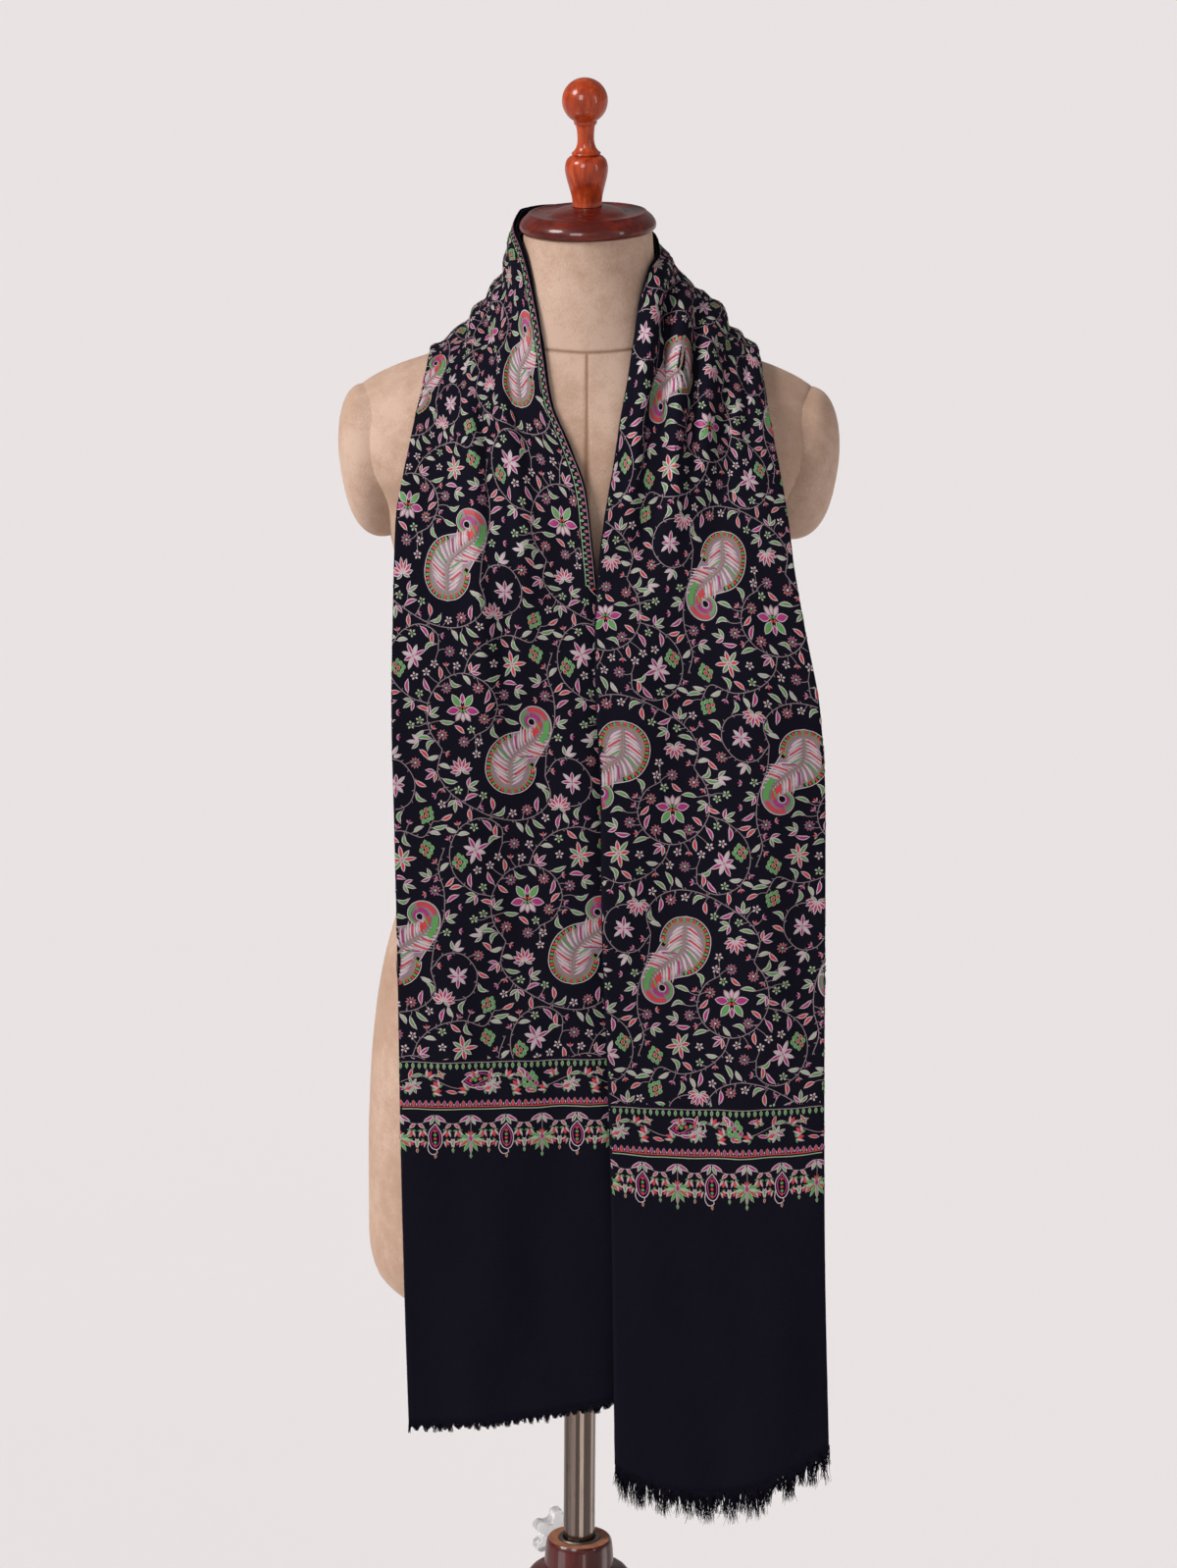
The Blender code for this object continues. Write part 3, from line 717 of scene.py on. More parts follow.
@dataclass
class ShawlShape:
    """The folded shawl's surface: how its two plies lie on the form, and where flat cloth goes.

    Flat places are (across, along) in mm: across runs from the front ply's inner edge over the
    outer fold onto the back ply, and along runs from the left hem, round the neck, to the right hem.
    """

    form: FormShape
    width: float = 165.0
    ply_gap: float = 2.2
    wall: float = 0.7
    rest: float = 3.4
    row_step: float = 6.0
    ply_columns: int = 46
    fold_columns: int = 4
    stations: tuple[Station, ...] = (
        Station(34, -119, 613, -129, -124, 592, 3, 4), Station(30, -120, 706, -132, -125, 700, 3, 0),
        Station(28, -121, 830, -134.5, -127, 828, 3, 0), Station(27, -122, 945, -136, -128, 943, 3, 0),
        Station(24, -123, 1060, -138, -129, 1056, 3, 0), Station(16, -121, 1150, -140, -127, 1150, 3, 0),
        Station(9, -114, 1232, -139, -114, 1232, 3, 0), Station(5, -108, 1270, -138, -95, 1282, 3, 0),
        Station(0, -100, 1308, -133, -80, 1314, 3, 0), Station(-13, -90, 1342, -128, -70, 1338, 2, 0),
        Station(-26, -75, 1370, -124, -58, 1358, 0, 0), Station(-32, -59, 1402, -119, -42, 1377, -4, 0),
        Station(-39, -42, 1442, -116, -20, 1393, -7, 0), Station(-49, -22, 1476, -114, 4, 1397, -9, 0),
        Station(-55, 5, 1489, -110, 28, 1394, -9, 0), Station(-49, 30, 1499, -96, 60, 1378, -8, 0),
        Station(-28, 50, 1500, -64, 86, 1362, -6, 0), Station(4, 58, 1496, 2, 102, 1350, -5, 0),
        Station(35, 48, 1488, 68, 87, 1360, -5, 0), Station(50, 27, 1479, 102, 63, 1380, -1, 0),
        Station(52, 3, 1473, 122, 31, 1397, 0, 0), Station(47, -25, 1464, 125, 5, 1400, 1, 0),
        Station(39, -41, 1442, 127, -20, 1394, 2, 0), Station(35, -52, 1416, 130, -42, 1377, 3, 0),
        Station(30, -67, 1384, 133, -58, 1358, 3, 0), Station(24, -82, 1354, 137, -69, 1339, 3, 0),
        Station(19, -96, 1322, 142, -77, 1315, 3, 0), Station(13, -108, 1287, 147, -90, 1287, 3, 0),
        Station(9, -118, 1252, 151, -105, 1255, 3, 0), Station(7, -127, 1216, 159, -119, 1212, 3, 0),
        Station(8, -131, 1160, 171, -127, 1152, 3, 0), Station(12, -132, 1095, 176, -128, 1090, 3, 0),
        Station(14, -132, 983, 178, -128, 985, 3, 0), Station(19, -131, 869, 179.5, -128, 870, 3, 2),
        Station(23, -130, 753, 182, -127, 755, 3, 8), Station(27, -129, 563, 189, -126, 576, 3, 29),
    )
    folds: tuple[Fold, ...] = (
        Fold(4.5, 13.0, 0.47, 0.50, 0.060, -7.5), Fold(4.5, 13.0, 0.58, 0.62, 0.075, 6.5),
        Fold(5.5, 12.5, 0.36, 0.38, 0.070, 5.5), Fold(8.0, 13.0, 0.14, 0.10, 0.080, -4.0),
        Fold(7.0, 13.5, 0.24, 0.26, 0.060, -4.0), Fold(12.0, 17.5, 0.30, 0.34, 0.110, -4.0),
        Fold(12.5, 18.5, 0.66, 0.60, 0.120, 1.5), Fold(15.0, 20.5, 0.80, 0.74, 0.100, -4.0),
        Fold(17.5, 21.5, 0.55, 0.62, 0.140, 4.0), Fold(20.0, 28.0, 0.20, 0.26, 0.055, -13.0),
        Fold(20.3, 26.0, 0.46, 0.45, 0.055, -10.0), Fold(20.5, 27.5, 0.10, 0.14, 0.055, 7.0),
        Fold(20.5, 27.5, 0.33, 0.37, 0.060, 9.0), Fold(21.0, 26.5, 0.56, 0.56, 0.070, 6.0),
        Fold(22.0, 28.0, 0.68, 0.62, 0.080, -3.5), Fold(0.0, 5.5, 0.36, 0.30, 0.160, -2.5),
        Fold(0.0, 4.5, 0.72, 0.70, 0.160, 2.5), Fold(27.5, 36.0, 0.34, 0.40, 0.160, -3.0),
        Fold(28.0, 35.0, 0.70, 0.74, 0.140, 3.0),
    )
    ripples: tuple[Ripple, ...] = (
        Ripple(520, 90, 0.8, 0.3), Ripple(340, 61, 0.5, 1.9), Ripple(230, -47, 0.35, 4.0),
        Ripple(23, 17, 0.10, 0.5), Ripple(17, -26, 0.08, 2.0), Ripple(31, 13, 0.08, 3.3),
    )
    gathers: tuple[Ripple, ...] = (
        Ripple(310, 30, 0.9, 0.0), Ripple(240, -37, 0.6, 2.2), Ripple(190, 21, 0.35, 4.1),
    )
    gather_from: float = 8.5
    gather_to: float = 27.0

    def __post_init__(self) -> None:
        """Works out the grid of the whole sheet once."""
        fine = np.linspace(0, len(self.stations) - 1, 1500)
        run = self.curves(fine)[4]
        self.length = float(run[-1])
        self.row_runs = np.linspace(0, self.length, int(round(self.length / self.row_step)) + 1)
        places = np.interp(self.row_runs, run, fine)
        ply = np.linspace(0, 1, self.ply_columns)
        middle = self.middle(places, ply)
        normals = self.facing(self.middle, places, ply)
        outward = unit(middle[:, -1] - middle[:, -2])
        half = self.ply_gap / 2
        turn = np.pi * np.arange(1, self.fold_columns + 1) / (self.fold_columns + 1)
        round_fold = middle[:, -1:] + half * (
            normals[:, -1:] * np.cos(turn)[None, :, None] + outward[:, None, :] * np.sin(turn)[None, :, None]
        )
        front, back = middle + normals * half, (middle - normals * half)[:, ::-1]
        self.points = np.concatenate([front, round_fold, back], axis=1)
        self.columns = np.concatenate([
            self.width * ply, self.width + half * turn, self.width * (2 - ply[::-1]) + half * np.pi,
        ])
        self.normals = self.grid_normals(self.points)

    def curves(self, places: Array) -> tuple[Array, Array, Array, Array, Array]:
        """The inner edge, outer fold, crown, dip and run along the cloth at fractional station numbers.

        Args:
            places: fractional station numbers.

        Returns:
            The five curves, one value or row a place.
        """
        table = np.array(self.stations, float)
        middle = (table[:, 0:3] + table[:, 3:6]) / 2
        run = run_along(middle)
        at = np.interp(places, np.arange(len(table)), run)
        columns = [through(run, table[:, k], at) for k in range(table.shape[1])]
        return np.stack(columns[0:3], 1), np.stack(columns[3:6], 1), columns[6], columns[7], at

    def straight(self, places: Array, across: Array) -> Array:
        """The cloth as straight runs from edge to edge, each lowered by its dip times a parabola.

        Args:
            places: fractional station numbers.
            across: 0 at the inner edge to 1 at the outer fold.

        Returns:
            Points by row and share across.
        """
        inner, outer, _, dip, _ = self.curves(places)
        u = across[None, :, None]
        grid = inner[:, None, :] * (1 - u) + outer[:, None, :] * u
        grid[:, :, 2] -= dip[:, None] * (4 * across * (1 - across))[None, :]
        return grid

    def facing(self, surface: Callable[[Array, Array], Array], places: Array, across: Array) -> Array:
        """Unit normals away from the form: the cross product of small steps along and over the surface.

        Args:
            surface: gives the surface at places and shares across.
            places: fractional station numbers.
            across: 0 at the inner edge to 1 at the outer fold.

        Returns:
            Normals by row and share across.
        """
        places = np.clip(places, 0.05, len(self.stations) - 1.05)
        along = surface(places + 0.02, across) - surface(places - 0.02, across)
        over = surface(places, across + 0.005) - surface(places, across - 0.005)
        return unit(np.cross(along, over))

    def relief(self, places: Array, across: Array) -> Array:
        """Height of the folds and ripples.

        A fold is a bell across its line, times the sine of its length to the power 0.8. A ripple
        is a sine of along/wavelength plus across/wavelength; gathers only swell round the neck.

        Args:
            places: fractional station numbers.
            across: 0 at the inner edge to 1 at the outer fold.

        Returns:
            Heights, one row a place.
        """
        place, u = places[:, None], across[None, :]
        height = np.zeros((len(places), len(across)))
        for fold in self.folds:
            t = np.clip((place - fold.first) / (fold.last - fold.first), 0, 1)
            line = fold.across_first + (fold.across_last - fold.across_first) * t
            height += fold.depth * np.sin(np.pi * t) ** 0.8 * np.exp(-(((u - line) / fold.width) ** 2))
        run = self.curves(places)[4][:, None]
        neck = eased((place - self.gather_from) / 3) * eased((self.gather_to - place) / 3)
        for waves, share in ((self.ripples, 1.0), (self.gathers, neck)):
            for wave in waves:
                phase = 2 * np.pi * (run / wave.along + u * self.width / wave.across)
                height = height + share * wave.height * np.sin(phase + wave.start)
        return height

    def middle(self, places: Array, across: Array) -> Array:
        """Middle of the doubled cloth: straight runs lifted by crown and relief, pushed off the form.

        Args:
            places: fractional station numbers.
            across: 0 at the inner edge to 1 at the outer fold.

        Returns:
            Points by row and share across.
        """
        crown = self.curves(places)[2]
        lift = crown[:, None] * (4 * across * (1 - across))[None, :] + self.relief(places, across)
        grid = self.straight(places, across) + self.facing(self.straight, places, across) * lift[:, :, None]
        return self.form.pushed_clear(grid.reshape(-1, 3), self.rest).reshape(grid.shape)

    @staticmethod
    def grid_normals(points: Array) -> Array:
        """Unit normals of a grid: the cross product of its slopes along and across."""
        return unit(np.cross(np.gradient(points, axis=0), np.gradient(points, axis=1)), 1e-12)

    def lay(self, flat: Array) -> Array:
        """Lays flat points on the sheet.

        The surface and its normal are read between the grid's four nearest points, and each point
        stands off along the normal by half the wall plus its own height.

        Args:
            flat: rows of across, along and height.

        Returns:
            Points in space, one a row.
        """
        rows, columns = len(self.row_runs), len(self.columns)
        i = np.clip(flat[:, 1] / self.length * (rows - 1), 0, rows - 1.001)
        j = np.clip(np.interp(flat[:, 0], self.columns, np.arange(columns)), 0, columns - 1.001)
        i0, j0 = i.astype(int), j.astype(int)
        a, b = (i - i0)[:, None], (j - j0)[:, None]
        laid = []
        for grid in (self.points, self.normals):
            upper = grid[i0, j0] * (1 - b) + grid[i0, j0 + 1] * b
            lower = grid[i0 + 1, j0] * (1 - b) + grid[i0 + 1, j0 + 1] * b
            laid.append(upper * (1 - a) + lower * a)
        return laid[0] + laid[1] * (self.wall / 2 + flat[:, 2:3])


# ---------------------------------------------------------------- embroidered shapes
Disc = tuple[float, float, float]  # x, y and radius, in flat mm


def turned_flat(points: Array, degrees: float) -> Array:
    """Flat points turned anticlockwise about the origin; a third column is left alone.

    Args:
        points: the points, one a row.
        degrees: the turn.

    Returns:
        The turned points.
    """
    c, s = math.cos(math.radians(degrees)), math.sin(math.radians(degrees))
    made = np.array(points, float)
    made[:, 0], made[:, 1] = points[:, 0] * c - points[:, 1] * s, points[:, 0] * s + points[:, 1] * c
    return made


def out_from(x: float, y: float, turn: float, distance: float) -> Array:
    """The flat place a distance from another in a direction, anticlockwise degrees from +y."""
    return turned_flat(np.array([[0.0, distance]]), turn)[0] + (x, y)


def heading(way: Array) -> float:
    """A flat direction as anticlockwise degrees from +y."""
    return math.degrees(math.atan2(-way[0], way[1]))


def triangles(quads: Array) -> Array:
    """Quads halved into triangles."""
    return np.concatenate([quads[:, [0, 1, 2]], quads[:, [0, 2, 3]]])


class Motif:
    """Embroidered shapes in flat millimetres, kept by thread: points are x, y and height off the cloth."""

    FOOT = 0.12
    """How far a stitch's edge stands off the cloth, in mm."""
    STEM = 0.26
    """A stem's height off the cloth."""
    CORD = 0.3
    """An outline's or a border line's height off the cloth."""
    TUCK = 0.16
    """How much of a fill's half width lies under its outline."""
    KNOT_SIDES = 7
    """Points round a knot."""

    def __init__(self) -> None:
        """Starts an empty motif."""
        self.points: dict[Silk, list[Array]] = {silk: [] for silk in Silk}
        self.faces: dict[Silk, list[Array]] = {silk: [] for silk in Silk}
        self.count: dict[Silk, int] = {silk: 0 for silk in Silk}

    def add(self, silk: Silk, points: Array, faces: Array) -> None:
        """Adds points and triangles in one thread.

        Args:
            silk: the thread.
            points: x, y and height, one a row.
            faces: rows of three point numbers.
        """
        self.points[silk].append(points)
        self.faces[silk].append(faces + self.count[silk])
        self.count[silk] += len(points)

    def merged(self, silk: Silk) -> tuple[Array, Array]:
        """All of one thread's points and triangles as two arrays.

        Args:
            silk: the thread.

        Returns:
            The points and the triangles.
        """
        if not self.points[silk]:
            return np.zeros((0, 3)), np.zeros((0, 3), int)
        self.points[silk] = [np.concatenate(self.points[silk])]
        self.faces[silk] = [np.concatenate(self.faces[silk])]
        return self.points[silk][0], self.faces[silk][0]

    def stamp(self, motif: "Motif", x: float, y: float, turn: float = 0.0, size: float = 1.0) -> None:
        """Adds another motif, scaled, turned in degrees and moved.

        Args:
            motif: the motif to add.
            x: its place.
            y: its place.
            turn: anticlockwise degrees.
            size: its scale.
        """
        for silk in Silk:
            points, faces = motif.merged(silk)
            if len(points):
                placed = turned_flat(points, turn)
                placed[:, :2] = placed[:, :2] * size + (x, y)
                self.add(silk, placed, faces)

    def dot(self, x: float, y: float, radius: float, silk: Silk, height: float = 0.55) -> None:
        """A small knot: a low cone.

        Args:
            x: its place.
            y: its place.
            radius: its radius.
            silk: the thread.
            height: height off the cloth.
        """
        n, k, angle = self.KNOT_SIDES, np.arange(self.KNOT_SIDES), round_turn(self.KNOT_SIDES)
        ring = np.stack([x + radius * np.cos(angle), y + radius * np.sin(angle), 0 * angle + self.FOOT], 1)
        self.add(silk, np.concatenate([ring, [[x, y, height]]]), np.stack([k, (k + 1) % n, 0 * k + n], 1))

    def line(self, path: Any, width: float, silk: Silk, height: float = 0.28, closed: bool = False) -> None:
        """A row of stem stitch: a flat ribbon half its width to each side of the path.

        Args:
            path: places along it.
            width: across the ribbon.
            silk: the thread.
            height: height off the cloth.
            closed: whether the path joins itself.
        """
        path = np.asarray(path, float)
        if closed:
            slope = np.roll(path, -1, axis=0) - np.roll(path, 1, axis=0)
        else:
            slope = np.gradient(path, axis=0)
        slope = unit(slope, 1e-9)
        side = np.stack([slope[:, 1], -slope[:, 0]], 1) * width / 2
        n = len(path)
        points = np.stack([path + side, path - side], 1).reshape(-1, 2)
        i = 2 * np.arange(n if closed else n - 1)
        j = (i + 2) % (2 * n)
        faces = np.concatenate([np.stack([i, j, i + 1], 1), np.stack([j, j + 1, i + 1], 1)])
        self.add(silk, np.column_stack([points, np.full(len(points), height)]), faces)

    def leaf(
        self, x: float, y: float, turn: float, length: float, width: float, fill: Silk,
        edge: Silk | None = Silk.LILAC, bend: float = 0.0, rim: float = 0.68, height: float = 0.5,
        rows: int = 7,
    ) -> None:
        """A satin-stitched leaf with a corded outline.

        Its half width is the sine of the way from base to tip, its middle line bends by a parabola
        and its fill rises to the middle. The outline is a band round it.

        Args:
            x: the base's place.
            y: the base's place.
            turn: the direction it points, anticlockwise degrees from +y.
            length: base to tip.
            width: across its widest part.
            fill: the fill's thread.
            edge: the outline's thread, or None for a bare leaf.
            bend: how far its middle line swings aside, as a share of its length.
            rim: the outline's width.
            height: the fill's height off the cloth.
            rows: the number of rows in the fill.
        """
        t = np.linspace(0, 1, rows)
        half = (width / 2 - (self.TUCK if edge else 0.0)) * np.sin(np.pi * t**0.9) ** 0.85
        swing = bend * length * 4 * t * (1 - t)
        c = np.array([-1.0, 0.0, 1.0])
        flat = np.stack([swing[:, None] + half[:, None] * c, (length * t)[:, None] + 0 * c], -1)
        flat = flat.reshape(-1, 2)
        domed = (np.sin(np.pi * np.clip(t, 0.12, 0.88))[:, None] * (c == 0)).reshape(-1)
        rise = self.FOOT + (height - self.FOOT) * domed
        points = turned_flat(np.column_stack([flat, rise]), turn)
        points[:, :2] += (x, y)
        self.add(fill, points, triangles(grid_quads(rows, 3)))
        if edge is not None:
            grow = half + rim * 0.5
            right = np.stack([swing + grow, length * t], 1)
            left = np.stack([swing - grow, length * t], 1)[1:-1][::-1]
            loop = np.concatenate([right, left])
            loop[0, 1] -= rim * 0.6
            loop[rows - 1, 1] += rim * 0.6
            loop[0, 0], loop[rows - 1, 0] = swing[0], swing[-1]
            ring = turned_flat(loop, turn) + (x, y)
            self.line(ring, rim, edge, self.CORD, closed=True)


@dataclass(frozen=True)
class Flowers:
    """The field's stock of flowers, each drawn once and stamped many times."""

    rosette_petals: int = 9
    star_petals: int = 8
    fan_petals: int = 7

    @staticmethod
    def ray(made: Motif, turn: float, root: float, length: float, width: float, fill: Silk, **looks) -> None:
        """One petal pointing away from the middle, its root set out from it along the same turn."""
        made.leaf(*out_from(0, 0, turn, root), turn, length, width, fill, **looks)

    def rosette(self, petal: Silk, heart: Silk) -> Motif:
        """A ring of thin wedge petals open at the stalk, round a pale heart.

        Args:
            petal: the petals' thread.
            heart: the heart's thread.

        Returns:
            The flower.
        """
        made = Motif()
        for turn in np.linspace(-150, 150, self.rosette_petals):
            self.ray(made, turn, 1.7, 2.4, 1.15, petal, edge=Silk.ROSE, rim=0.28, rows=4)
        made.dot(0, 0, 1.05, heart)
        return made

    def cluster(self, petal: Silk) -> Motif:
        """Five blunt pale petals round a small dark heart.

        Args:
            petal: the petals' thread.

        Returns:
            The flower.
        """
        made = Motif()
        for k in range(5):
            self.ray(made, 72.0 * k, 0.9, 2.5, 1.7, petal, edge=None, rows=4)
        made.dot(0, 0, 0.6, Silk.OCHRE, 0.8)
        return made

    def star(self, first: Silk, second: Silk) -> Motif:
        """Eight slender pointed petals of three lengths, in two threads by turns.

        Args:
            first: one thread.
            second: the other thread.

        Returns:
            The flower.
        """
        made = Motif()
        for k in range(self.star_petals):
            turn = 360 * k / self.star_petals + 8
            self.ray(made, turn, 1.3, 9.0 - 1.6 * (k % 3), 2.3, first if k % 2 else second)
        made.dot(0, 0, 1.1, Silk.ROSE, 0.8)
        return made

    def fan(self, first: Silk, second: Silk) -> Motif:
        """A lotus: petals fanned through a half turn over two green sepals.

        Args:
            first: one thread.
            second: the other thread.

        Returns:
            The flower.
        """
        made = Motif()
        for k, turn in enumerate(np.linspace(-84, 84, self.fan_petals)):
            length = 9.2 - 2.4 * abs(turn) / 90
            self.ray(made, turn, 1.0, length, 2.1, first if k % 2 else second, bend=-0.0006 * turn)
        for side in (-1, 1):
            made.leaf(0.6 * side, 0, -122 * side, 5.0, 1.6, Silk.GREEN, rows=5)
        return made

    def berry(self) -> Motif:
        """A tapering cluster of chequered red and green scales.

        Returns:
            The cluster.
        """
        made = Motif()
        two, three = (-2.4, 2.4), (-4.2, 0.0, 4.2)
        rows = ((0.0, (0.0,)), (2.6, two), (5.6, three), (8.8, two), (11.2, (0.0,)))
        for r, (y, places) in enumerate(rows):
            for k, x in enumerate(places):
                silk = Silk.CORAL if (k + r) % 2 else Silk.GREEN
                made.leaf(x, y - 2.2, -2.5 * x, 3.9, 3.0, silk, Silk.SAGE, rim=0.4, rows=4)
        return made

    def butterfly(self) -> Motif:
        """Two green sepals, two magenta wings, a lilac skirt and a bud, round a chequered heart.

        Returns:
            The flower.
        """
        made = Motif()
        for side in (-1, 1):
            made.leaf(2.2 * side, 1.9, -34 * side, 10.2, 4.8, Silk.GREEN)
            made.leaf(3.0 * side, -0.5, -101 * side, 9.2, 5.2, Silk.MAGENTA)
            made.leaf(1.5 * side, -2.6, -148 * side, 7.6, 3.2, Silk.LILAC, Silk.ROSE)
            made.dot(1.4 * side, 1.3, 1.25, Silk.CORAL, 0.8)
            made.dot(1.4 * side, -1.4, 1.25, Silk.GREEN, 0.8)
        made.leaf(0, 4.6, 0, 6.6, 2.9, Silk.MAGENTA)
        made.leaf(0, -3.4, 180, 6.2, 2.8, Silk.LILAC, Silk.ROSE)
        return made

    def bud(self, heart: Silk) -> Motif:
        """Three short petals, the middle one in colour.

        Args:
            heart: the heart's thread.

        Returns:
            The bud.
        """
        made = Motif()
        for turn, silk in ((-48, Silk.ROSE), (48, Silk.ROSE), (0, heart)):
            made.leaf(0, 0, turn, 3.7, 1.4, silk, None, rows=4)
        return made

    def spray(self, first: Silk, second: Silk) -> Motif:
        """A pair of leaves and a tip leaf on one point.

        Args:
            first: one thread.
            second: the other thread.

        Returns:
            The leaves.
        """
        made = Motif()
        made.leaf(0.3, 0, -46, 6.6, 1.9, first, bend=0.08, rows=5)
        made.leaf(-0.3, 0, 46, 6.6, 1.9, second, bend=-0.08, rows=5)
        made.leaf(0, 0.8, 0, 7.8, 2.1, first, rows=5)
        return made


@dataclass
class Paisley:
    """The large paisley: a round base, a leaning feathered body and a tail curled over to the left.

    Its spine is walked at even steps in the direction of a heading: straight up through the round
    base, eased over to a lean, then turned back to the left faster and faster for the curl. The
    outline is the spine plus and minus a half width, and the base closes as a half circle.
    """

    radius: float = 19.0
    lean: float = 52.0
    lean_over: float = 16.0
    curl_from: float = 28.0
    curl_turn: float = 345.0
    length: float = 80.0
    taper: tuple[tuple[float, float], ...] = (
        (0, 19.0), (8, 18.4), (17, 15.6), (26, 11.8), (35, 8.6),
        (44, 6.7), (54, 5.4), (64, 4.0), (72, 2.6), (80, 1.2),
    )
    rim_until: float = 0.37
    rim_depth: float = 3.9
    block_step: float = 2.9
    feather_until: float = 0.58
    feathers_a_side: int = 19
    feather_slant: float = 54.0
    plate_columns: int = 9
    spine_step: float = 1.3

    def __post_init__(self) -> None:
        """Walks the spine once: its points, normals, half widths and shares of the way along it."""
        self.drawn = Motif()
        s = np.arange(-self.radius, self.length, self.spine_step)
        curl = np.clip((s - self.curl_from) / (self.length - self.curl_from), 0, 1)
        course = np.radians(self.lean * eased(s / self.lean_over) - self.curl_turn * curl**1.75)
        steps = np.stack([np.sin(course), np.cos(course)], 1) * self.spine_step
        self.spine = np.cumsum(steps, axis=0) - steps[0] + (0, -self.radius)
        self.normals = np.stack([np.cos(course), -np.sin(course)], 1)
        table = np.array(self.taper)
        circle = np.sqrt(np.maximum(self.radius**2 - np.minimum(s, 0) ** 2, 0.0))
        self.half = np.where(s < 0, circle, through(table[:, 0], table[:, 1], s))
        self.share = np.linspace(0, 1, len(s))

    def footprint(self, x: float, y: float, turn: float, margin: float = 1.6) -> list[Disc]:
        """Discs that cover the placed paisley, one at every third point of its spine.

        Args:
            x: its place.
            y: its place.
            turn: anticlockwise degrees.
            margin: room added round it.

        Returns:
            The discs.
        """
        placed = turned_flat(self.spine, turn) + (x, y)
        return [(*place, reach + margin) for place, reach in zip(placed[::3], self.half[::3])]

    def motif(self) -> Motif:
        """The whole paisley, in every thread.

        Returns:
            The paisley.
        """
        self.plate()
        aside = self.normals * self.half[:, None]
        loop = np.concatenate([(self.spine - aside)[::-1], (self.spine + aside)[1:]])
        way = np.concatenate([self.normals[::-1], -self.normals[1:]])
        weight = np.concatenate([self.share[::-1], self.share[1:]])
        low = weight < self.radius / (self.radius + self.length)
        self.drawn.line(loop, 0.65, Silk.LILAC, 0.5)
        self.rim(loop, np.where(low[:, None], -unit(loop, 1e-9), way), weight)
        self.feathers()
        self.curl()
        return self.drawn

    def rim(self, loop: Array, inward: Array, weight: Array) -> None:
        """Red and green blocks by turns round the base, between the outline and an ochre line.

        Args:
            loop: the outline.
            inward: the way in from each point of it.
            weight: each point's share of the way along the spine.
        """
        run = run_along(loop)
        for k, at in enumerate(np.arange(2.0, run[-1] - 2.0, self.block_step)):
            if np.interp(at, run, weight) < self.rim_until:
                root = np.array([np.interp(at, run, loop[:, i]) for i in (0, 1)])
                step = np.array([np.interp(at, run, inward[:, i]) for i in (0, 1)])
                silk = Silk.GREEN if k % 2 else Silk.CORAL
                self.drawn.line([root + step * 0.8, root + step * 3.3], 1.9, silk, 0.62)
        self.drawn.line((loop + inward * self.rim_depth)[weight < self.rim_until], 0.55, Silk.OCHRE, 0.62)

    def plate(self) -> None:
        """The pale ground of the body inside the rim, in enough columns to bend with a fold."""
        inset = np.where(self.share < self.rim_until, self.rim_depth, 0.3)
        reach = np.maximum(self.half - inset, 0.0)[:, None]
        sides = np.linspace(-1, 1, self.plate_columns)
        points = np.stack([self.spine + self.normals * reach * side for side in sides], 1).reshape(-1, 2)
        faces = triangles(grid_quads(len(self.spine), self.plate_columns))
        self.drawn.add(Silk.STEM, np.column_stack([points, np.full(len(points), 0.22)]), faces)

    def feathers(self) -> None:
        """Slanting strokes from the spine to the rim on both sides; every third is in a bright thread."""
        accents = (Silk.CORAL, Silk.CORAL, Silk.GREEN, Silk.MAGENTA)
        for k, here in enumerate(np.linspace(0.07, self.feather_until, self.feathers_a_side)):
            columns = (*self.spine.T, *self.normals.T, self.half)
            x, y, nx, ny, reach = (np.interp(here, self.share, column) for column in columns)
            upward = math.degrees(math.atan2(ny, nx))
            room = reach - (self.rim_depth if here < self.rim_until else 0.4)
            for side in (-1, 1):
                turn = upward - self.feather_slant * side
                length = max(room, 1.6) / math.sin(math.radians(self.feather_slant))
                looks = {"bend": 0.06 * side, "rows": 5, "height": 0.6}
                self.drawn.leaf(x, y, turn, length, 2.7, Silk.LILAC, None, **looks)
                if (k + (side > 0)) % 3 == 0:
                    stroke = turned_flat(np.array([[0.0, 0.2], [0.0, 0.5], [0.0, 0.84]]) * length, turn)
                    self.drawn.line(stroke + (x, y), 1.25, accents[(k // 3 + (side > 0)) % 4], 0.85)
        kept = (self.share > 0.05) & (self.share < self.feather_until)
        self.drawn.line(self.spine[kept], 0.5, Silk.OCHRE, 0.9)

    def curl(self) -> None:
        """Bands that follow the tail: green, red and green outside, and red then magenta inside."""
        outside, inside = (Silk.GREEN, Silk.CORAL, Silk.GREEN), (Silk.CORAL, Silk.MAGENTA, Silk.MAGENTA)
        kept = np.flatnonzero((self.share > self.feather_until - 0.06) & (self.share < 0.97))
        for side, threads in ((1, outside), (-1, inside)):
            band = self.spine + self.normals * (self.half * 0.46 * side)[:, None]
            for silk, part in zip(threads, np.array_split(kept, 3)):
                self.drawn.line(band[part], max(0.7, self.half[part].mean() * 0.55), silk, 0.7)


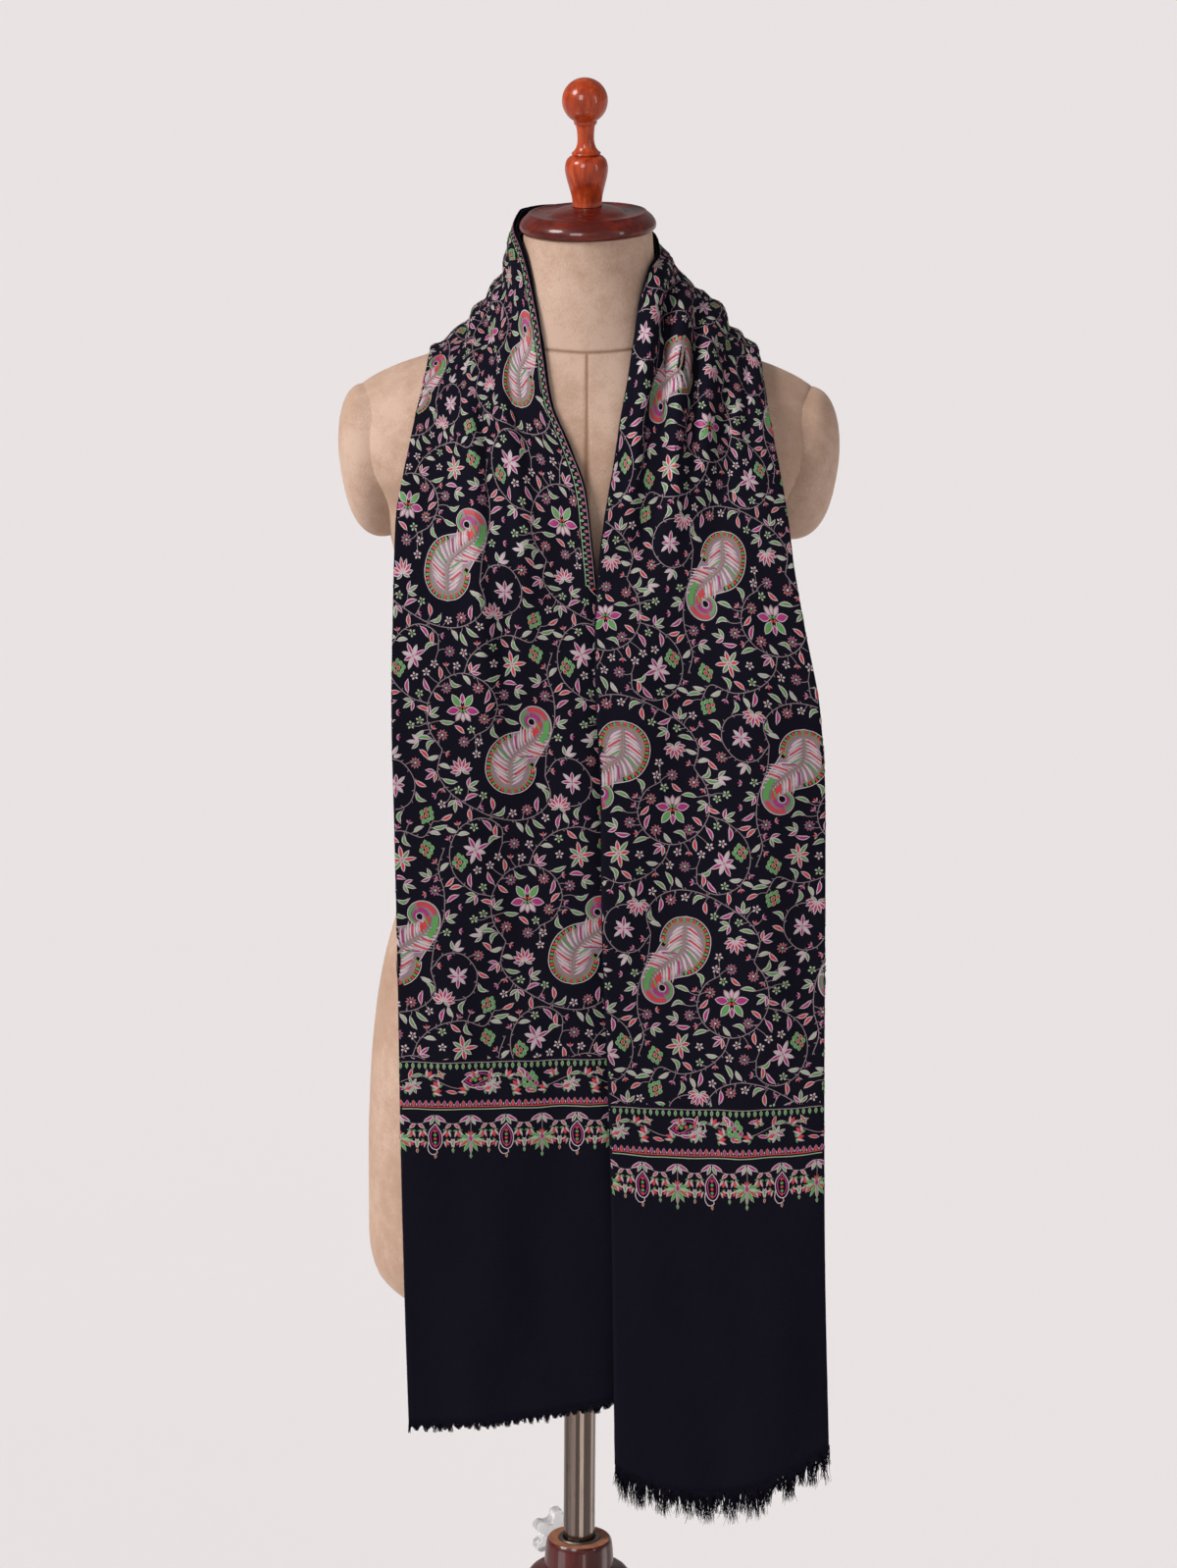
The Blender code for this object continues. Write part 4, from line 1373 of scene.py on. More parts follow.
# ---------------------------------------------------------------- the trailing field
@dataclass
class TrailingField:
    """The field's repeat, laid out once: scrolling stems, the large flowers, then small ones along
    the stems wherever there is room. The repeat steps sideways as it climbs, so no rows line up.
    """

    across: float = 133.0
    along: float = 146.0
    sidestep: float = -43.0
    seed: int = 11
    stem_width: float = 0.62
    flowers: Flowers = Flowers()
    paisley_place: tuple[float, float, float] = (34.0, -46.0, -3.0)
    stems: tuple[tuple[tuple[float, float], ...], ...] = (
        ((-17, -31), (-26, -16), (-27, 4), (-16, 21), (2, 27), (19, 19), (26, 3), (20, -13), (9, -20)),
        ((-17, -31), (-21, -48), (-12, -63), (4, -74), (20, -82), (38, -85), (54, -80), (63, -68), (60, -52)),
        ((60, -52), (70, -40), (84, -40), (94, -54), (90, -70), (77, -75), (70, -66)),
        ((2, 27), (8, 40), (22, 51), (40, 55), (56, 50), (64, 62)),
        ((60, -52), (63, -32), (70, -12), (71, 8), (67, 26), (72, 42)),
        ((-27, 4), (-41, 9), (-54, 22), (-57, 40), (-49, 57), (-33, 64), (-19, 57), (-18, 44)),
    )

    def __post_init__(self) -> None:
        """Makes the empty map of what is taken, one cell a square millimetre of the repeat."""
        self.taken = np.zeros((int(self.along), int(self.across)), bool)
        self.rng = np.random.default_rng(self.seed)
        self.unit = Motif()

    def cells(self, x: Array, y: Array) -> tuple[Array, Array]:
        """Where flat places fall in the one repeat: whole repeats along, then across, taken off.

        Args:
            x: flat places across.
            y: flat places along.

        Returns:
            Row and column numbers of the map.
        """
        climb = np.floor(y / self.along)
        return ((y - climb * self.along).astype(int) % int(self.along),
                (x - climb * self.sidestep).astype(int) % int(self.across))

    def disc(self, x: float, y: float, radius: float) -> tuple[Array, Array]:
        """The cells within a distance of a place.

        Args:
            x: its middle.
            y: its middle.
            radius: its radius.

        Returns:
            Row and column numbers of the map.
        """
        r = int(math.ceil(radius))
        dx, dy = np.meshgrid(np.arange(-r, r + 1), np.arange(-r, r + 1))
        inside = dx**2 + dy**2 <= radius**2
        return self.cells(x + dx[inside], y + dy[inside])

    def free(self, discs: list[Disc]) -> bool:
        """Whether no cell of any disc is taken."""
        return not any(self.taken[self.disc(*d)].any() for d in discs)

    def take(self, discs: list[Disc]) -> None:
        """Marks the discs' cells as taken."""
        for d in discs:
            self.taken[self.disc(*d)] = True

    def place_large(self) -> None:
        """Takes the paisley's room, and places the butterfly, stars, lotuses and berries at the heart of the
        scrolls.
        """
        unit = self.unit
        self.take(Paisley().footprint(*self.paisley_place))
        unit.stamp(self.flowers.butterfly(), 0, 0)
        self.take([(0, 1, 12.5), (0, 10, 5)])
        for k, (x, y, first, second) in enumerate((
            (40, 33, Silk.GREEN, Silk.CORAL), (-38, 40, Silk.LILAC, Silk.MAGENTA),
            (80, -57, Silk.MAGENTA, Silk.LILAC),
        )):
            unit.stamp(self.flowers.star(first, second), x, y, 17 * k, 1.0 if k < 2 else 0.85)
            self.take([(x, y, 11.0)])
        for x, y, turn, first, second in (
            (-3, -47, 10, Silk.CORAL, Silk.MAGENTA), (26, 70, -12, Silk.MAGENTA, Silk.CORAL),
        ):
            unit.stamp(self.flowers.fan(first, second), x, y, turn)
            self.take([(*out_from(x, y, turn, 4.5), 9.8)])
        for x, y, turn in ((60, 36, 14), (57, 62, -28), (84, 26, 8)):
            unit.stamp(self.flowers.berry(), x, y, turn, 0.95)
            self.take([(*out_from(x, y, turn, 6.0), 8.6)])

    def run_stems(self) -> None:
        """The main stems, with a tiny barb every few millimetres, and what they cover marked as taken."""
        self.paths = [rounded(stem, 2.0) for stem in self.stems]
        for path in self.paths:
            self.unit.line(path, self.stem_width, Silk.STEM, Motif.STEM)
            slope = np.gradient(path, axis=0)
            for k in range(3, len(path) - 1, 4):
                side = 52 if (k // 4) % 2 else -52
                self.unit.leaf(*path[k], heading(slope[k]) + side, 2.6, 0.7, Silk.STEM, None, rows=4)
            self.take([(*place, 0.8) for place in path])

    def stalk(self, start: Array, end: Array, bow: float) -> None:
        """A thin stalk from a stem to a flower, bowed aside by a parabola.

        Args:
            start: where it starts.
            end: where it ends.
            bow: how far it swings aside, as a share of its length.
        """
        t = np.linspace(0, 1, 6)[:, None]
        side = np.array([-(end - start)[1], (end - start)[0]])
        self.unit.line(start + (end - start) * t + side * bow * 4 * t * (1 - t), 0.48, Silk.STEM, 0.24)

    def small_stock(self) -> list[tuple[Motif, float, float]]:
        """The small flowers and leaves, each with the distance from its root to its middle and its radius.

        Returns:
            The stock, in a fixed order.
        """
        stock = [(kind(*threads), offset, radius) for kind, offset, radius, picks in (
            (self.flowers.rosette, 0.0, 5.6, (
                (Silk.CORAL, Silk.LILAC), (Silk.MAGENTA, Silk.SAGE), (Silk.CORAL, Silk.SAGE),
            )),
            (self.flowers.cluster, 0.0, 4.4, ((Silk.SAGE,), (Silk.LILAC,))),
            (self.flowers.bud, 2.0, 3.0, ((Silk.CORAL,), (Silk.MAGENTA,))),
            (self.flowers.spray, 5.4, 6.0, (
                (Silk.GREEN, Silk.MAGENTA), (Silk.LILAC, Silk.GREEN), (Silk.MAGENTA, Silk.CORAL),
            )),
        ) for threads in picks]
        for silk, bend, length in (
            (Silk.GREEN, 0.1, 10.6), (Silk.MAGENTA, -0.12, 10.0), (Silk.CORAL, 0.08, 8.4),
            (Silk.GREEN, 0.3, 9.6), (Silk.SAGE, -0.1, 8.0),
        ):
            single = Motif()
            single.leaf(0, 0, 0, length, 2.5, silk, Silk.LILAC, bend=bend, rows=6)
            stock.append((single, length / 2, 3.4))
        return stock

    def grow(self) -> None:
        """Small flowers on alternate sides of the stems, then into each gap from the nearest stem."""
        stock = self.small_stock()
        order = [0, 10, 5, 3, 7, 11, 1, 12, 6, 8, 2, 13, 4, 14, 9]
        pick = 0
        for path in self.paths:
            slope = np.gradient(path, axis=0)
            for k in range(2, len(path) - 1, 3):
                side = 1 if (k // 3) % 2 else -1
                across = np.array([-slope[k, 1], slope[k, 0]]) * side / (np.linalg.norm(slope[k]) + 1e-9)
                way = across + slope[k] / (np.linalg.norm(slope[k]) + 1e-9) * 0.7
                for attempt in range(6):
                    if self.try_growing(stock[order[(pick + attempt) % len(order)]], path[k], way, 2.6):
                        pick += attempt + 1
                        break
        joined = np.concatenate(self.paths)
        near = (-1, 0, 1)
        shifts = [(i * self.across + j * self.sidestep, j * self.along) for i in near for j in near]
        roots = np.concatenate([joined + s for s in shifts])
        x, y = np.meshgrid(np.arange(0, self.across, 3.1), np.arange(0, self.along, 3.1))
        gaps = self.rng.permutation(np.stack([x.ravel(), y.ravel()], 1))
        for radius, kinds, reach in (
            (6.4, (0, 1, 2, 7, 8), 17.0), (4.6, (3, 4, 10, 11, 13), 15.0), (3.5, (5, 6, 12, 14), 12.0),
        ):
            for spot in gaps:
                if self.free([(*spot, radius)]):
                    motif, offset, _ = stock[kinds[int(self.rng.integers(len(kinds)))]]
                    away = np.linalg.norm(roots - spot, axis=1)
                    root = roots[away.argmin()]
                    way = (spot - root) / max(away.min(), 1e-6)
                    facing = turned_flat(way[None, :], self.rng.uniform(-35, 35))[0]
                    base = spot - facing * offset
                    if away.min() < reach:
                        self.stalk(root, base, self.rng.uniform(-0.16, 0.16))
                    self.unit.stamp(motif, *base, heading(facing))
                    self.take([(*spot, radius)])

    def try_growing(self, entry: tuple[Motif, float, float], start: Array, way: Array, stalk: float) -> bool:
        """Puts one flower on a stalk if its disc is free.

        Args:
            entry: the motif, the distance from its root to its middle, and its radius.
            start: the place on the stem.
            way: the direction to grow.
            stalk: the stalk's least length.

        Returns:
            Whether it was placed.
        """
        motif, offset, radius = entry
        way = way / np.linalg.norm(way)
        base = start + way * (stalk + (radius if offset == 0 else 0))
        middle = base + way * offset
        disc = [(*middle, radius)]
        if not self.free(disc):
            return False
        self.unit.stamp(motif, *base, heading(way))
        self.stalk(start, base, 0.12)
        self.take(disc)
        return True

    def laid_out(self) -> Motif:
        """The finished repeat.

        Returns:
            The repeat.
        """
        self.place_large()
        self.run_stems()
        self.grow()
        return self.unit


# ---------------------------------------------------------------- the borders
@dataclass
class EndBorder:
    """The border above each plain end: a beaded line, a creeper band, a row of buds and hanging flowers.

    Heights are along the cloth from the hem.
    """

    left: float = -160.0
    right: float = 217.0
    beads: float = 280.0
    creeper: float = 264.5
    buds: float = 245.5
    pale_line: float = 243.5
    swags: float = 240.0
    repeat: float = 54.0
    bead_step: float = 4.7
    wave: float = 60.0
    band_buds: tuple[tuple[float, float, float], ...] = (
        (8, 3.0, -30), (17, -4.5, 40), (44, 3.0, 20), (50, -6.0, -70), (38, -7.0, 60), (12, -7.5, -80),
    )
    band_leaves: tuple[tuple[float, float, float], ...] = (
        (3, -5, 60), (14, 5, -75), (20, 3, 30), (36, 6, -80), (47, 5, 70),
        (54, 3, -20), (43, -4, -100), (4, 6, 100), (30, -8, 80),
    )

    def straight_line(self, made: Motif, y: float, width: float, silk: Silk) -> None:
        """One line of stem stitch right across, very slightly wavering."""
        x = np.arange(self.left, self.right, 3.0)
        made.line(np.stack([x, y + 0.25 * np.sin(x / 6)], 1), width, silk, Motif.CORD)

    def small_paisley(self) -> Motif:
        """A narrow hanging paisley with a double outline, a curled foot and a ladder of small blocks.

        Returns:
            The paisley.
        """
        made = Motif()
        path = rounded([
            (0.4, 1), (-3.8, -4), (-4.6, -10), (-2.6, -16), (1.6, -17.4), (4.6, -13), (4.5, -6), (0.4, 1),
        ], 1.1)
        foot = rounded([(-4.4, -11), (-5.2, -17), (-2.6, -21), (1.2, -20), (0.9, -17.6)], 1.1)
        for line, width, silk in (
            (path, 0.6, Silk.LILAC), (path * (0.68, 0.76) + (0.1, -1.8), 0.7, Silk.MAGENTA),
            (foot, 0.6, Silk.LILAC),
        ):
            made.line(line, width, silk, 0.34)
        for k, y in enumerate((-3.0, -5.8, -8.6, -11.4, -13.8)):
            made.leaf(0.1, y, 180, 2.4, 2.4, Silk.GREEN if k % 2 else Silk.CORAL, None, rows=4)
        return made

    def rosebud(self) -> Motif:
        """A folded bud: two lilac outer petals, a red middle one and a green calyx.

        Returns:
            The bud.
        """
        made = Motif()
        for side in (-1, 1):
            made.leaf(0.6 * side, 0.2, -26 * side, 5.0, 1.4, Silk.LILAC, Silk.ROSE, rim=0.3, rows=5)
            made.leaf(0.3 * side, 0.2, -82 * side, 3.0, 1.2, Silk.GREEN, None, rows=4)
        made.leaf(0, 0.6, 0, 4.8, 2.3, Silk.CORAL, None, rows=4, height=0.8)
        return made

    def hanging_star(self) -> Motif:
        """A half-open flower with green, red and sage petals fanned downwards from a magenta heart.

        Returns:
            The flower.
        """
        made = Motif()
        half = (Silk.GREEN, Silk.SAGE, Silk.CORAL, Silk.GREEN)
        for silk, turn in zip((*half, Silk.ROSE, *half[::-1]), np.linspace(72, 288, 9)):
            length = 8.8 - 1.6 * abs(math.sin(math.radians(turn)))
            Flowers.ray(made, turn, 1.6, length, 2.0, silk, edge=Silk.SAGE, rim=0.35, rows=5)
        made.leaf(0, 2.4, 180, 4.6, 3.0, Silk.MAGENTA, Silk.LILAC, rim=0.4, rows=5, height=0.9)
        for turn in (-52, -18, 18, 52):
            made.leaf(0, 1.0, turn, 4.6, 1.6, Silk.CORAL if abs(turn) < 20 else Silk.SAGE, None, rows=4)
        return made

    def grapes(self) -> Motif:
        """A round leaf of green and magenta scales with a magenta horn.

        Returns:
            The leaf.
        """
        made = Motif()
        two, three = (-1.7, 1.7), (-3.3, 0, 3.3)
        for r, (y, places) in enumerate(((0, two), (3.2, three), (6.4, three), (9.4, two))):
            for k, x in enumerate(places):
                silk = Silk.GREEN if (k + r) % 3 else Silk.MAGENTA
                made.leaf(x, y - 2, 0, 3.7, 2.9, silk, Silk.SAGE, rim=0.35, rows=4)
        made.leaf(-3.2, 8.0, 24, 6.5, 2.2, Silk.MAGENTA, bend=0.12)
        return made

    def drawn(self) -> Motif:
        """The whole border, drawn upright with the hem below.

        Returns:
            The border.
        """
        made = Motif()
        self.straight_line(made, self.beads, 0.7, Silk.STEM)
        for x in np.arange(self.left, self.right, self.bead_step):
            made.leaf(x, self.beads - 0.8, 180, 4.0, 1.9, Silk.GREEN, Silk.SAGE, rim=0.4, rows=5)
        self.creeper_band(made)
        self.straight_line(made, self.buds, 0.8, Silk.CORAL)
        for k, x in enumerate(np.arange(self.left, self.right, self.bead_step)):
            silk = Silk.MAGENTA if k % 2 else Silk.CORAL
            made.leaf(x, self.buds + 0.6, 0, 4.2, 2.4, silk, Silk.ROSE, rim=0.4, rows=5)
            made.leaf(x + self.bead_step / 2, self.buds + 0.6, 0, 2.2, 1.0, Silk.LILAC, None, rows=4)
        self.straight_line(made, self.pale_line, 0.7, Silk.SAGE)
        self.hanging_row(made)
        return made

    def creeper_band(self, made: Motif) -> None:
        """A waving stem with a lying paisley or a grape leaf in each wave, set about with buds and leaves.

        Args:
            made: the motif to draw in.
        """
        x = np.arange(self.left, self.right, 2.5)
        y = self.creeper + 4.6 * np.sin(2 * np.pi * x / self.wave)
        made.line(np.stack([x, y], 1), 0.55, Silk.STEM, Motif.STEM)
        small_star = Flowers().star(Silk.SAGE, Silk.GREEN)
        for k, start in enumerate(np.arange(self.left - 8, self.right, self.wave)):
            if k % 2:
                made.stamp(self.small_paisley(), start + 35, self.creeper + 0.5, 97, 1.3)
            else:
                made.stamp(self.grapes(), start + 26, self.creeper - 6.0, 6, 1.25)
            for dx, dy, turn in self.band_buds:
                made.stamp(self.rosebud(), start + dx, self.creeper + dy, turn, 1.3)
            made.stamp(small_star, start + 57, self.creeper - 3.0, 15, 0.7)
            for j, (dx, dy, turn) in enumerate(self.band_leaves):
                silk = (Silk.MAGENTA, Silk.GREEN, Silk.CORAL)[j % 3]
                made.leaf(start + dx, self.creeper + dy, turn, 8.0, 2.4, silk, rim=0.45, rows=5)

    def beside(self, x: float, side: int, out: float, down: float, turn: float) -> tuple[float, float, float]:
        """A place below the swags to one side of x, and a turn away from straight down."""
        return x + out * side, self.swags - down, 180 + turn * side

    def hanging_row(self, made: Motif) -> None:
        """Looped stems from which small paisleys and flowers hang by turns, with buds and leaves between.

        Args:
            made: the motif to draw in.
        """
        half = self.repeat / 2
        t = np.linspace(0, 1, 10)
        for k, x in enumerate(np.arange(self.left - 4, self.right + half, half)):
            odd = k % 2 == 1
            loop = np.stack([x + half * t, self.swags - 7 * 4 * t * (1 - t) - 1.0], 1)
            made.line(loop, 0.55, Silk.STEM, Motif.STEM)
            if odd:
                made.stamp(self.small_paisley(), x, self.swags - 9.0, 0, 1.08)
            else:
                made.stamp(self.hanging_star(), x, self.swags - 19.5, 0, 1.15)
                stem = [(x, self.swags - 2), (x + 0.3, self.swags - 10), (x, self.swags - 18)]
                made.line(stem, 0.5, Silk.STEM, Motif.STEM)
            leaf_silk = Silk.GREEN if odd else Silk.SAGE
            for side in (-1, 1):
                made.leaf(*self.beside(x, side, 1.2, 1.5, 58), 8.0, 2.2, Silk.MAGENTA, bend=0.06 * side)
                made.leaf(*self.beside(x, side, 0.8, 3.0, 26), 6.0, 1.8, leaf_silk, rows=5)
                made.stamp(self.rosebud(), *self.beside(x, side, 9.6, 12.5, -8), 1.15)
                made.stamp(self.rosebud(), *self.beside(x, side, 7.6, 21.0, 40), 0.95)
                made.leaf(*self.beside(x, side, 12.6, 20, 14), 6.0, 1.9, Silk.GREEN, rows=5)
                made.leaf(*self.beside(x, side, 12.0, 8.0, -50), 5.0, 1.7, Silk.CORAL, rows=5)
            tips = (Silk.CORAL, Silk.GREEN) if odd else (Silk.GREEN, Silk.CORAL)
            for aside, down, silk in zip((0, half / 2), (31.5, 27), tips):
                made.leaf(x + aside, self.swags - down, 180, 3.4, 1.7, silk, Silk.SAGE, rim=0.35, rows=4)


@dataclass
class InnerSelvedge:
    """The narrow border down the left panel's inner edge: a beaded line, then a row of buds at the edge."""

    edge: float = 165.0
    line_at: float = 156.5
    step: float = 4.8

    def drawn(self, start: float, end: float) -> Motif:
        """The border between two places along the cloth.

        Args:
            start: where along the cloth it starts.
            end: where it ends.

        Returns:
            The border.
        """
        made = Motif()
        y = np.arange(start, end, 3.0)
        for x, silk, width in ((self.line_at, Silk.SAGE, 0.55), (self.edge - 1.6, Silk.STEM, 0.6)):
            made.line(np.stack([0 * y + x, y], 1), width, silk, Motif.CORD)
        for k, at in enumerate(np.arange(start, end, self.step)):
            made.leaf(self.line_at + 0.6, at, -90, 2.6, 1.5, Silk.GREEN, Silk.SAGE, rim=0.35, rows=4)
            silk = Silk.CORAL if k % 2 else Silk.MAGENTA
            made.leaf(self.edge - 2.2, at + 2.4, 90, 3.4, 1.7, silk, Silk.ROSE, rim=0.35, rows=4)
        return made


@dataclass
class Embroidery:
    """All the shawl's embroidery: the field, both end borders and the inner selvedge, laid on the cloth."""

    shape: ShawlShape
    field_start: float = 282.0
    paisley_left: tuple[float, float] = (94.0, 518.0)
    paisley_right: tuple[float, float] = (152.0, 540.0)
    repeats_between: int = 7
    back_reach: float = 161.0
    selvedge_from: float = 640.0
    selvedge_to: float = 0.53
    nudge: tuple[float, float] = (6.0, 14.0)
    paisley_reach: tuple[float, float] = (-18.0, 48.0)
    drawn_rows: tuple[int, int] = (-3, 13)
    drawn_columns: tuple[int, int] = (-5, 8)
    drawn_across: tuple[float, float] = (-330.0, 260.0)
    strip_edge: float = 155.5
    regions: tuple[str, ...] = ("left_end", "left", "neck", "right", "right_end")
    cuts: tuple[float, ...] = (0.0, 0.24, 0.40, 0.62, 0.78, 1.0)

    def field_warp(self, flat: Array) -> Array:
        """Moves the drawn field to its place on the cloth.

        Along, the drawn distance between the left and right paisleys is scaled to the cloth's
        between them; across, it drifts sideways evenly over that distance.

        Args:
            flat: drawn points: x, y and height, with the left paisley's base at its own place.

        Returns:
            Points whose x is across the cloth from its outer fold and y along it.
        """
        repeat = TrailingField()
        x0, y0 = self.paisley_left
        drawn_span = self.repeats_between * repeat.along
        real_span = self.shape.length - self.paisley_right[1] - y0
        share = np.clip((flat[:, 1] - y0) / drawn_span, 0, 1)
        drawn_x = (x0 + self.repeats_between * repeat.sidestep) % repeat.across
        drift = (self.paisley_right[0] - drawn_x + repeat.across / 2) % repeat.across - repeat.across / 2
        made = flat.copy()
        made[:, 0] += eased(share) * drift
        beyond = y0 + real_span + flat[:, 1] - y0 - drawn_span
        made[:, 1] = np.where(share < 1, y0 + share * real_span, beyond)
        made[:, 1] = np.where(flat[:, 1] < y0, flat[:, 1], made[:, 1])
        return made

    def filler(self) -> Motif:
        """What fills a paisley's place where a border would cut through it: flowers on a short stem.

        Returns:
            The flowers.
        """
        made, flowers = Motif(), Flowers()
        stem = rounded([(-2, -15), (4, -4), (2, 8), (12, 20), (14, 32)], 2.0)
        made.line(stem, 0.6, Silk.STEM, Motif.STEM)
        made.stamp(flowers.star(Silk.GREEN, Silk.CORAL), -3, -3, 10, 0.95)
        made.stamp(flowers.fan(Silk.CORAL, Silk.MAGENTA), 13, 10, -30, 0.9)
        made.stamp(flowers.berry(), 11, 26, 8, 0.9)
        for x, y, silk in (
            (-12, 6, Silk.CORAL), (9, -10, Silk.MAGENTA), (3, 17, Silk.CORAL), (24, 24, Silk.MAGENTA),
        ):
            made.stamp(flowers.rosette(silk, Silk.LILAC), x, y)
        for x, y, turn, silk in (
            (-9, -13, 40, Silk.GREEN), (14, -4, -60, Silk.MAGENTA), (20, 36, 10, Silk.GREEN),
            (4, 30, 60, Silk.CORAL),
        ):
            made.leaf(x, y, turn, 8.5, 2.4, silk)
        return made

    def tiled(self, motif: Motif, silk: Silk, offsets: Array) -> tuple[Array, Array]:
        """One thread of a motif at every offset, moved to its place on the cloth.

        Args:
            motif: the motif.
            silk: the thread.
            offsets: places across and along, one a row.

        Returns:
            The moved points and their triangles.
        """
        points, faces = motif.merged(silk)
        if not len(points) or not len(offsets):
            return np.zeros((0, 3)), np.zeros((0, 3), int)
        shift = np.column_stack([offsets, np.zeros(len(offsets))])
        copies = (points[None] + shift[:, None]).reshape(-1, 3)
        numbers = (np.arange(len(offsets)) * len(points))[:, None, None]
        return self.field_warp(copies), (faces[None] + numbers).reshape(-1, 3)

    def in_field(self, points: Array, faces: Array) -> tuple[Array, Array]:
        """Keeps the triangles that lie in the field, inside the selvedge where there is one.

        Args:
            points: across, along and height, one a row.
            faces: rows of three point numbers.

        Returns:
            The points and the kept triangles.
        """
        end, (across, along, _) = self.shape.length, points.T
        beside = (along > self.selvedge_from) & (along < end * self.selvedge_to)
        edge = np.where(beside, self.strip_edge, self.shape.width - 0.6)
        kept = (across > -self.back_reach) & (across < edge)
        kept &= (along > self.field_start) & (along < end - self.field_start)
        return points, faces[kept[faces].all(axis=1)]

    def gathered(self) -> dict[Silk, tuple[Array, Array]]:
        """Every shape by thread, as across, along and height on the cloth, clipped to where it belongs.

        Returns:
            Each thread's points and triangles.
        """
        repeat, paisley, filler = TrailingField(), Motif(), Motif()
        end, width = self.shape.length, self.shape.width
        *place, turn = repeat.paisley_place
        paisley.stamp(Paisley().motif(), 0, 0, turn)
        filler.stamp(self.filler(), 0, 0, turn)
        unit, border = repeat.laid_out(), EndBorder().drawn()
        strip = InnerSelvedge().drawn(self.selvedge_from, end * self.selvedge_to)
        spots_drawn = [
            (i * repeat.across + j * repeat.sidestep, j * repeat.along)
            for j in range(*self.drawn_rows) for i in range(*self.drawn_columns)
        ]
        offsets = np.array(spots_drawn) + np.array(self.paisley_left) - np.array(place) - self.nudge
        low, high = self.drawn_across
        offsets = offsets[(offsets[:, 0] > low) & (offsets[:, 0] < high)]
        roots = offsets + place
        foot, tip = (
            self.field_warp(np.column_stack([roots + (0, reach), np.zeros(len(roots))]))[:, 1]
            for reach in self.paisley_reach
        )
        whole = (foot > self.field_start) & (tip < end - self.field_start)
        made: dict[Silk, tuple[Array, Array]] = {}
        for silk in Silk:
            near_points, near_faces = border.merged(silk)
            far_points = near_points.copy()
            far_points[:, 0], far_points[:, 1] = width - near_points[:, 0], end - near_points[:, 1]
            sets = [
                self.in_field(*self.tiled(unit, silk, offsets)),
                self.in_field(*self.tiled(paisley, silk, roots[whole])),
                self.in_field(*self.tiled(filler, silk, roots[~whole])),
                self.clipped(near_points, near_faces), self.clipped(far_points, near_faces),
                self.clipped(*strip.merged(silk)),
            ]
            starts = np.cumsum([0] + [len(points) for points, _ in sets])
            points = np.concatenate([points for points, _ in sets])
            points[:, 0] = width - points[:, 0]
            made[silk] = (points, np.concatenate([faces + starts[k] for k, (_, faces) in enumerate(sets)]))
        return made

    def clipped(self, points: Array, faces: Array) -> tuple[Array, Array]:
        """Drops triangles that pass the inner edge or reach too far onto the back ply."""
        kept = (points[:, 0] > -self.back_reach) & (points[:, 0] < self.shape.width - 0.4)
        return points, faces[kept[faces].all(axis=1)]

    def build(self, materials: dict[Silk, bpy.types.Material]) -> list[bpy.types.Object]:
        """Makes one piece for each stretch of the cloth, with a material for each thread.

        Args:
            materials: the threads' materials.

        Returns:
            The pieces, from the left hem to the right.
        """
        gathered = self.gathered()
        cuts = np.array(self.cuts) * self.shape.length
        pieces = []
        for name, low, high in zip(self.regions, cuts[:-1], cuts[1:]):
            points, faces, threads, count = [], [], [], 0
            for number, silk in enumerate(Silk):
                flat, numbers = gathered[silk]
                along = flat[:, 1][numbers].mean(axis=1)
                here = numbers[(along >= low) & (along < high)]
                used, renumbered = np.unique(here, return_inverse=True)
                points.append(self.shape.lay(flat[used]))
                faces.append(renumbered.reshape(-1, 3) + count)
                threads.append(np.full(len(here), number))
                count += len(used)
            piece = make_piece("embroidery_" + name, np.concatenate(points), np.concatenate(faces))
            fit_out(piece, "form", [materials[silk] for silk in Silk], ())
            piece.data.polygons.foreach_set("material_index", np.concatenate(threads).astype(np.int32))
            pieces.append(piece)
        return pieces


